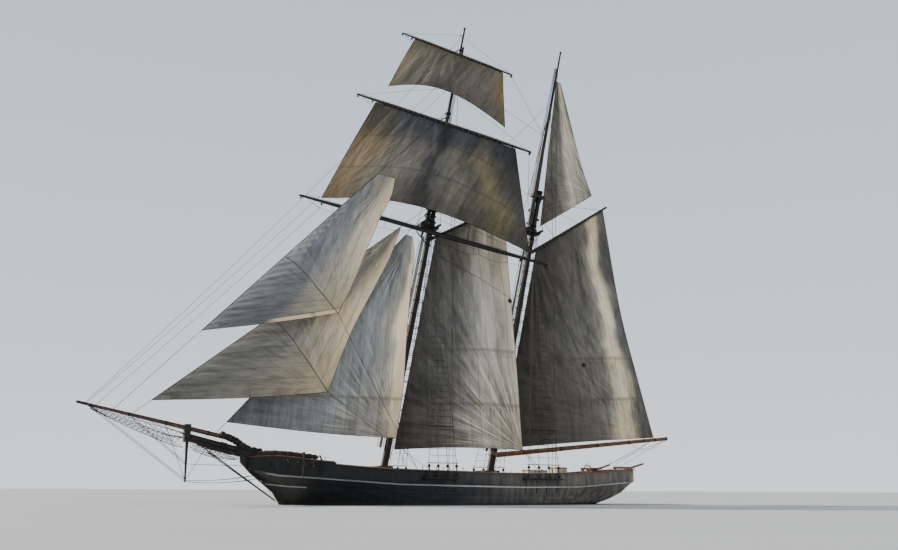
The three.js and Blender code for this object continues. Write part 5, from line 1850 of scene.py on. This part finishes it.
@dataclass
class YardGear:
    """Footropes, lifts, jackstay and blocks of one yard."""

    yard: Yard
    label: str
    lift_s: float
    bays: int = 4
    stirrup: float = 0.42

    def footrope(self, k: int) -> list[Line]:
        """The footrope of one yardarm and the stirrups that it hangs in."""
        y, ropes, points = self.yard, [], []
        a, b = y.at(k * y.half * 0.93, 0, -y.tip), y.at(k * 0.35, 0, -y.r)
        tops = [a.lerp(b, j / self.bays) for j in range(self.bays + 1)]
        hung = [top - UP * (self.stirrup if 0 < j < self.bays else 0.0) for j, top in enumerate(tops)]
        for j, (p, q) in enumerate(zip(hung, hung[1:])):
            points += hang(p, q, 0.16, 7)[: 7 if j == self.bays - 1 else 6]
            if j:
                ropes.append([tops[j], p])
        return ropes + [[p - y.way(0, 1) * 0.08 for p in points]]

    def build(self) -> None:
        """Makes this yard's gear, on its own body."""
        y, body = self.yard, "yard_" + self.label
        ropes, lifts, spots, iron = [], [], [], Form()
        for k in SIDES:
            ropes += self.footrope(k)
            lifts.append([y.at(k * y.half * 0.96, 0, y.tip), FORE.at(self.lift_s, y.off + y.out, k * 0.03)])
            for along in (k * y.half * 0.985, k * y.half * 0.80):
                spots.append(Spot(y.at(along, 0, -y.radius(along)), UP, y.way(1), 0.8))
            for along in (k * y.half * 0.97, k * y.half * 0.62, k * y.half * 0.30):
                iron.sleeve(y.at(along), y.way(1), 0.035, y.radius(along) + 0.010, 12)
        # the lifts meet on the line that the yard swings about, held off the mast by a strop
        strop = [FORE.at(self.lift_s + 0.05, y.off), FORE.at(self.lift_s, y.off + y.out)]
        ROPE.lay(f"{self.label}_lift_strop", [strop], 0.022)
        ropes.append([y.at(u, 0.02, y.radius(u) + 0.03) for u in np.linspace(-0.94, 0.94, 15) * y.half])
        ROPE.lay(f"{self.label}_footropes", ropes, 0.010, body=body, sides=5)
        ROPE.lay(f"{self.label}_lifts", lifts, 0.010, body=body, sides=5)
        REPEAT.set_out(f"{self.label}_blocks", block_form(), spots, SPAR, "spar_paint", body, 0.1)
        iron.piece(f"{self.label}_hoops", IRON, "spar_paint", body)


@dataclass
class SailGear:
    """Hoops, reef points, halyards, brails and sheets for the sails that are set."""

    sails: dict[str, Sail]
    hoop_gap: float = 0.86
    lacing_gap: float = 0.31

    def on(self, name: str, s: float, t: float, off: float = 0.03) -> Vector:
        """A point on a sail: s from fore edge to leech, t from foot to head, stood off to port."""
        sail = self.sails[name]
        at = round(t * (sail.up - 1)), round(s * (sail.across - 1))
        n = Vector(sail.normal[at])
        return Vector(sail.grid[at]) + n * math.copysign(off, off * n.y)

    def clew(self, name: str) -> Vector:
        """The sail's lower after corner."""
        return Vector(self.sails[name].grid[0, -1])

    def reef_points(self) -> None:
        """Short ends of rope through each reef band, both sides."""
        for name in ("foresail", "mainsail", "fore_topsail", "fore_staysail"):
            sail, lines, rng = self.sails[name], [], random.Random(8)
            runs = np.cumsum(np.linalg.norm(np.diff(sail.grid, axis=0), axis=2), axis=0)
            for band in sail.finish.bands:
                for j in range(3, sail.across - 3, 3):
                    i = int(np.searchsorted(runs[:, j], band))
                    if i >= sail.up - 3:
                        continue
                    s, t = j / (sail.across - 1), i / (sail.up - 1)
                    for k in SIDES:
                        a = self.on(name, s, t, 0.010 * k)
                        n = (self.on(name, s, t, 0.03 * k) - a).normalized()
                        sway = rng.uniform(-0.05, 0.05)
                        bend = a + n * 0.012 + Vector((sway * 0.4, 0, -0.16))
                        lines.append([a, bend, a + n * 0.014 + Vector((sway, 0, -0.34))])
            ROPE.lay(name + "_reef_points", lines, 0.008, MANILA, sail.body, sides=4)

    def hoops(self) -> None:
        """Wooden hoops that hold the luffs to the lower masts."""
        for label, mast, body, low in (("fore", FORE, "gaff_fore", 2.7), ("main", MAIN, "boom_main", 3.0)):
            form = Form()
            for s in np.arange(low, 14.6, self.hoop_gap):
                form.ring(mast.at(s, -0.115), mast.axis, 0.335, 0.020, 26)
            form.piece(f"{label}_mast_hoops", SPAR, "spar_paint", body)

    def halyards(self, gaff: SwungSpar, ahead: float, leads: Sequence[Point]) -> list[Line]:
        """Lines from places out along a gaff to heights on its mast."""
        return [[gaff.at(d, gaff.radius(d)), gaff.mast.at(s, ahead)] for d, s in leads]

    def running(self) -> None:
        """Halyards, vangs, topping lifts and the brail blocks."""
        lines = self.halyards(FORE_GAFF, -0.22, ((1.9, 17.0), (3.6, 17.45), (5.1, 17.45)))
        lines.append([self.on("foresail", s, 0.925 - 0.33 * s, 0.045) for s in np.linspace(0.03, 1.0, 24)])
        ROPE.lay("fore_gaff_halyards", lines, 0.012, body="gaff_fore")
        lines = self.halyards(MAIN_GAFF, -0.24, ((2.2, 18.4), (4.3, 19.3), (6.3, 19.3)))
        shares = np.linspace(0, 1, 24)
        lines.append([self.on("mainsail", 0.14 + 0.56 * u, 0.95 - 0.81 * u, 0.05) for u in shares])
        # a topping lift to starboard, and to port the short end of one that is cast off
        port, starboard = (MAIN_BOOM.at(10.2, 0.05) + PORT * (k * 0.13) for k in SIDES)
        lines += [[port, port + UP * 0.2], [starboard, MAIN.at(16.4, -0.2, -0.25)]]
        ROPE.lay("main_gaff_halyards", lines, 0.012, body="boom_main")
        for node, s, high in (("foresail", 0.98, 0.595), ("mainsail", 0.555, 0.35)):
            spot = Spot(self.on(node, s, high, 0.10), (0.2, 0, 1), AHEAD, 1.3)
            body = self.sails[node].body
            REPEAT.set_out(node + "_brail_block", block_form(), [spot], SPAR, "spar_paint", body)

    def sheets(self) -> None:
        """The sails' sheets, the boom's footrope and its iron bands."""
        lines = [
            hang(self.clew(name), foot, sag) for name, foot, sag in (
                ("outer_jib", (3.4, 3.42, 2.0), 0.12), ("jib", (2.6, 3.45, 1.95), 0.12),
                ("fore_staysail", (1.9, 1.6, 1.35), 0.12), ("fore_staysail", (4.5, 0.9, 1.45), 0.05),
                ("fore_staysail", (3.3, 2.2, 1.3), 0.05), ("foresail", (-5.2, 2.9, 1.95), 0.03),
                ("foresail", (-4.7, 3.2, 1.9), 0.03),
            )
        ]
        for k in SIDES:
            lines.append([MAIN_BOOM.at(10.6, -0.12), (-11.7, k * 0.5, 2.2)])
            lines.append([MAIN_BOOM.at(11.6, -0.11), (-11.9, k * 1.1, 2.25)])
        ROPE.lay("sheets", lines, 0.013, MANILA_DARK)
        footrope = hang(MAIN_BOOM.at(11.75, -0.1), MAIN_BOOM.at(9.3, -0.14), 0.42)
        ROPE.lay("boom_footrope", [footrope], 0.011, body="boom_main")
        bands = Form()
        for d in (2.0, 4.5, 7.0, 9.2, 10.2, 11.0, 11.8):
            bands.sleeve(MAIN_BOOM.at(d), MAIN_BOOM.dir, 0.035, MAIN_BOOM.radius(d) + 0.012, 14)
        bands.piece("boom_bands", IRON, "spar_paint", "boom_main")

    def lacing(self) -> None:
        """Turns of line that hold heads to gaffs and yards, and hanks on the stays."""
        for label, gaff, body, low, high in (
            ("fore", FORE_GAFF, "gaff_fore", 0.6, 5.3), ("main", MAIN_GAFF, "boom_main", 0.7, 6.4),
        ):
            form = Form()
            for d in np.arange(low, high, self.lacing_gap).tolist():
                form.ring(gaff.at(d), gaff.dir + gaff.mast.axis * 0.35, gaff.radius(d) + 0.018, 0.010, 16, 5)
            form.piece(f"{label}_gaff_lacing", MANILA, "tarred_rope", body)
        for label, yard, (port, starboard) in (
            ("topsail", TOPSAIL, TOPSAIL_HEAD), ("topgallant", TOPGALLANT, TOPGALLANT_HEAD),
        ):
            form = Form()
            way = yard.way(1) + yard.way(0, 0, 1) * 0.3
            for u in np.linspace(starboard + 0.1, port - 0.1, 26).tolist():
                form.ring(yard.at(u), way, yard.radius(u) + 0.016, 0.009, 16, 5)
            form.piece(f"{label}_head_lacing", MANILA, "tarred_rope", "yard_" + label)
        hank, spots = Form(), []
        hank.ring(Vector(), UP, 0.034, 0.009, 12, 5)
        for stay, low, high in ((OUTER_STAY, 9.7, 20.0), (JIB_STAY, 5.8, 16.7), (FORE_STAY, 4.8, 16.2)):
            spots += [Spot(p, stay.top - stay.foot, PORT) for p in stay.luff(low, high, 16, 0.012)]
        REPEAT.set_out("stay_hanks", hank, spots, IRON, "tarred_rope")

    def build(self) -> None:
        """Makes all of it."""
        self.reef_points()
        self.hoops()
        self.running()
        self.sheets()
        self.lacing()


@dataclass
class FlyingStays:
    """Light stays and braces that run between the masts and out to the jibboom."""

    stay_radius: float = 0.011
    brace_radius: float = 0.012

    def build(self) -> None:
        """Makes the long lines."""
        stays = []
        for x, s, ahead, sag in ((20.2, 26.6, 0.42, 0.3), (20.62, 27.9, 0.42, 0.34), (20.7, 30.3, 0.4, 0.42)):
            stays.append(hang(jibboom_line(x) + UP * 0.07, FORE.at(s, ahead), sag, 15))
        stays.append([FORE.at(17.7, -0.2), MAIN.at(19.75, 0.6)])
        stays.append(hang(FORE.at(17.75, -0.2), MAIN.at(26.9, 0.44), 0.08))
        ROPE.lay("light_stays", stays, self.stay_radius, sides=5)
        braces = []
        for yard, along, port_sag, starboard_sag, port_lead, starboard_lead in (
            (COURSE, 8.6, 0.05, 0.30, MAIN.at(15.9, 0.25), MAIN.at(15.9, 0.25)),
            (TOPSAIL, 6.5, 0.05, 0.25, MAIN.at(18.2, 0.6), MAIN.at(19.6, 0.6)),
            (TOPGALLANT, 4.35, 0.08, 0.22, MAIN.at(24.3, 0.45), MAIN.at(24.3, 0.45)),
        ):
            braces.append(hang(yard.at(along), port_lead, port_sag))
            braces.append(hang(yard.at(-along), starboard_lead, starboard_sag))
        ROPE.lay("braces", braces, self.brace_radius, sides=5)


class Dresser:
    """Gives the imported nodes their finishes."""

    FINISHES = {
        "hull keel stem sternpost rudder bulwark_port bulwark_starboard transom": HULL_PAINT,
        "deck": DECKING,
        "rail_cap_port rail_cap_starboard taffrail": VARNISH,
        "stern_davit_port stern_davit_starboard steering_wheel": VARNISH,
        "main_boom": BOOM_OIL,
        "jibboom": JIBBOOM,
        "fore_hatch main_hatch windlass bowsprit_bitts fore_fife_rail main_fife_rail": FITTING,
        "cathead_port cathead_starboard wheel_stand": FITTING,
        "trunk_cabin": HOUSE,
        "bowsprit bowsprit_cap dolphin_striker": SPAR,
        "foremast fore_topmast fore_crosstrees fore_cap mainmast main_topmast main_crosstrees main_cap": SPAR,
        "course_yard topsail_yard topgallant_yard fore_gaff main_gaff": YARD,
        "fore_shrouds_port fore_shrouds_starboard main_shrouds_port main_shrouds_starboard": TARRED,
        "forestay jib_stay outer_jib_stay": TARRED,
    }

    def build(self) -> None:
        """Sets one material on each node."""
        for names, finish in self.FINISHES.items():
            for name in names.split():
                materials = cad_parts[name].data.materials
                materials.clear()
                materials.append(finish.make())


@dataclass
class Studio:
    """The photograph's viewpoint, a pale floor at the waterline and soft light."""

    eye: Point = (24.35, 50.29, 0.84)
    heading: Point = (-0.43837, -0.89879, 0.0)
    pitch: float = 13.436
    roll: float = 0.25
    lens: float = 900 / 898 * 36

    def camera(self) -> None:
        """Sets the camera."""
        data = bpy.data.cameras.new("viewpoint")
        data.lens = self.lens
        data.sensor_width = 36
        data.clip_end = 3000
        camera = stand("viewpoint", data)
        p, r = math.radians(self.pitch), math.radians(self.roll)
        look = Vector(self.heading) * math.cos(p) + UP * math.sin(p)
        right = look.cross(UP).normalized()
        up = right.cross(look)
        right, up = right * math.cos(r) + up * math.sin(r), up * math.cos(r) - right * math.sin(r)
        turn = Matrix((right, up, -look)).transposed().to_4x4()
        camera.matrix_world = Matrix.Translation(Vector(self.eye)) @ turn
        bpy.context.scene.camera = camera

    def floor(self) -> None:
        """A wide pale disc at the waterline."""
        mesh = bpy.data.meshes.new("studio_floor")
        mesh.from_pydata(circle(Vector(), AHEAD, PORT, 1500.0, 96), [], [tuple(range(96))])
        mesh.materials.append(FLOOR.make())
        floor = stand("studio_floor", mesh)

    def light(self) -> None:
        """A pale surround, a warm key from beyond the bow that comes through the sails, and a soft fill."""
        world = bpy.data.worlds.new("studio_surround")
        world.use_nodes = True
        tree = world.node_tree
        tree.nodes.clear()
        height = wire(tree, "ShaderNodeTexCoord", out="Generated").parts()[2]
        sky = height.ramp((0.0, "#e8ecf0"), (0.12, "#d9e0e8"), (0.6, "#b6c5d8"), (1.0, "#9cb1cb"))
        seen = wire(tree, "ShaderNodeLightPath", out="Is Camera Ray")
        lit = wire(tree, "ShaderNodeBackground", {"Color": sky, "Strength": seen.window(0, 1, 0.74, 1.42)})
        put(tree, "ShaderNodeOutputWorld", {"Surface": lit})
        bpy.context.scene.world = world
        for name, way, strength, colour, soft in (
            ("warm_key", (0.66, -0.60, 0.46), 6.6, "#fff1dd", 5),
            ("soft_fill", (-0.5, 1.0, 0.55), 0.5, "#f4f6ff", 60),
        ):
            data = bpy.data.lights.new(name, "SUN")
            data.energy = strength
            data.color = linear(colour)[:3]
            data.angle = math.radians(soft)
            stand(name, data).matrix_world = Vector(way).to_track_quat("Z", "Y").to_matrix().to_4x4()

    def build(self) -> None:
        """Sets camera, floor and light."""
        self.camera()
        self.floor()
        self.light()


def main() -> None:
    """Builds the ship's dress and the studio."""
    logging.basicConfig(level=logging.INFO, format="%(name)s: %(message)s")
    Studio().build()
    Dresser().build()
    HullTrim(Side()).build()
    Deck().build()
    HeadGear().build()
    Shrouds(FORE, "fore", FORE_FEET, top_s=25.0, falls_aside=-1).build()
    Shrouds(MAIN, "main", MAIN_FEET, top_s=26.4, falls_aside=1).build()
    YardGear(COURSE, "course", lift_s=17.5).build()
    YardGear(TOPSAIL, "topsail", lift_s=26.2).build()
    YardGear(TOPGALLANT, "topgallant", lift_s=30.4).build()
    SailGear(SailLoft().build()).build()
    FlyingStays().build()


if __name__ == "__main__":
    main()
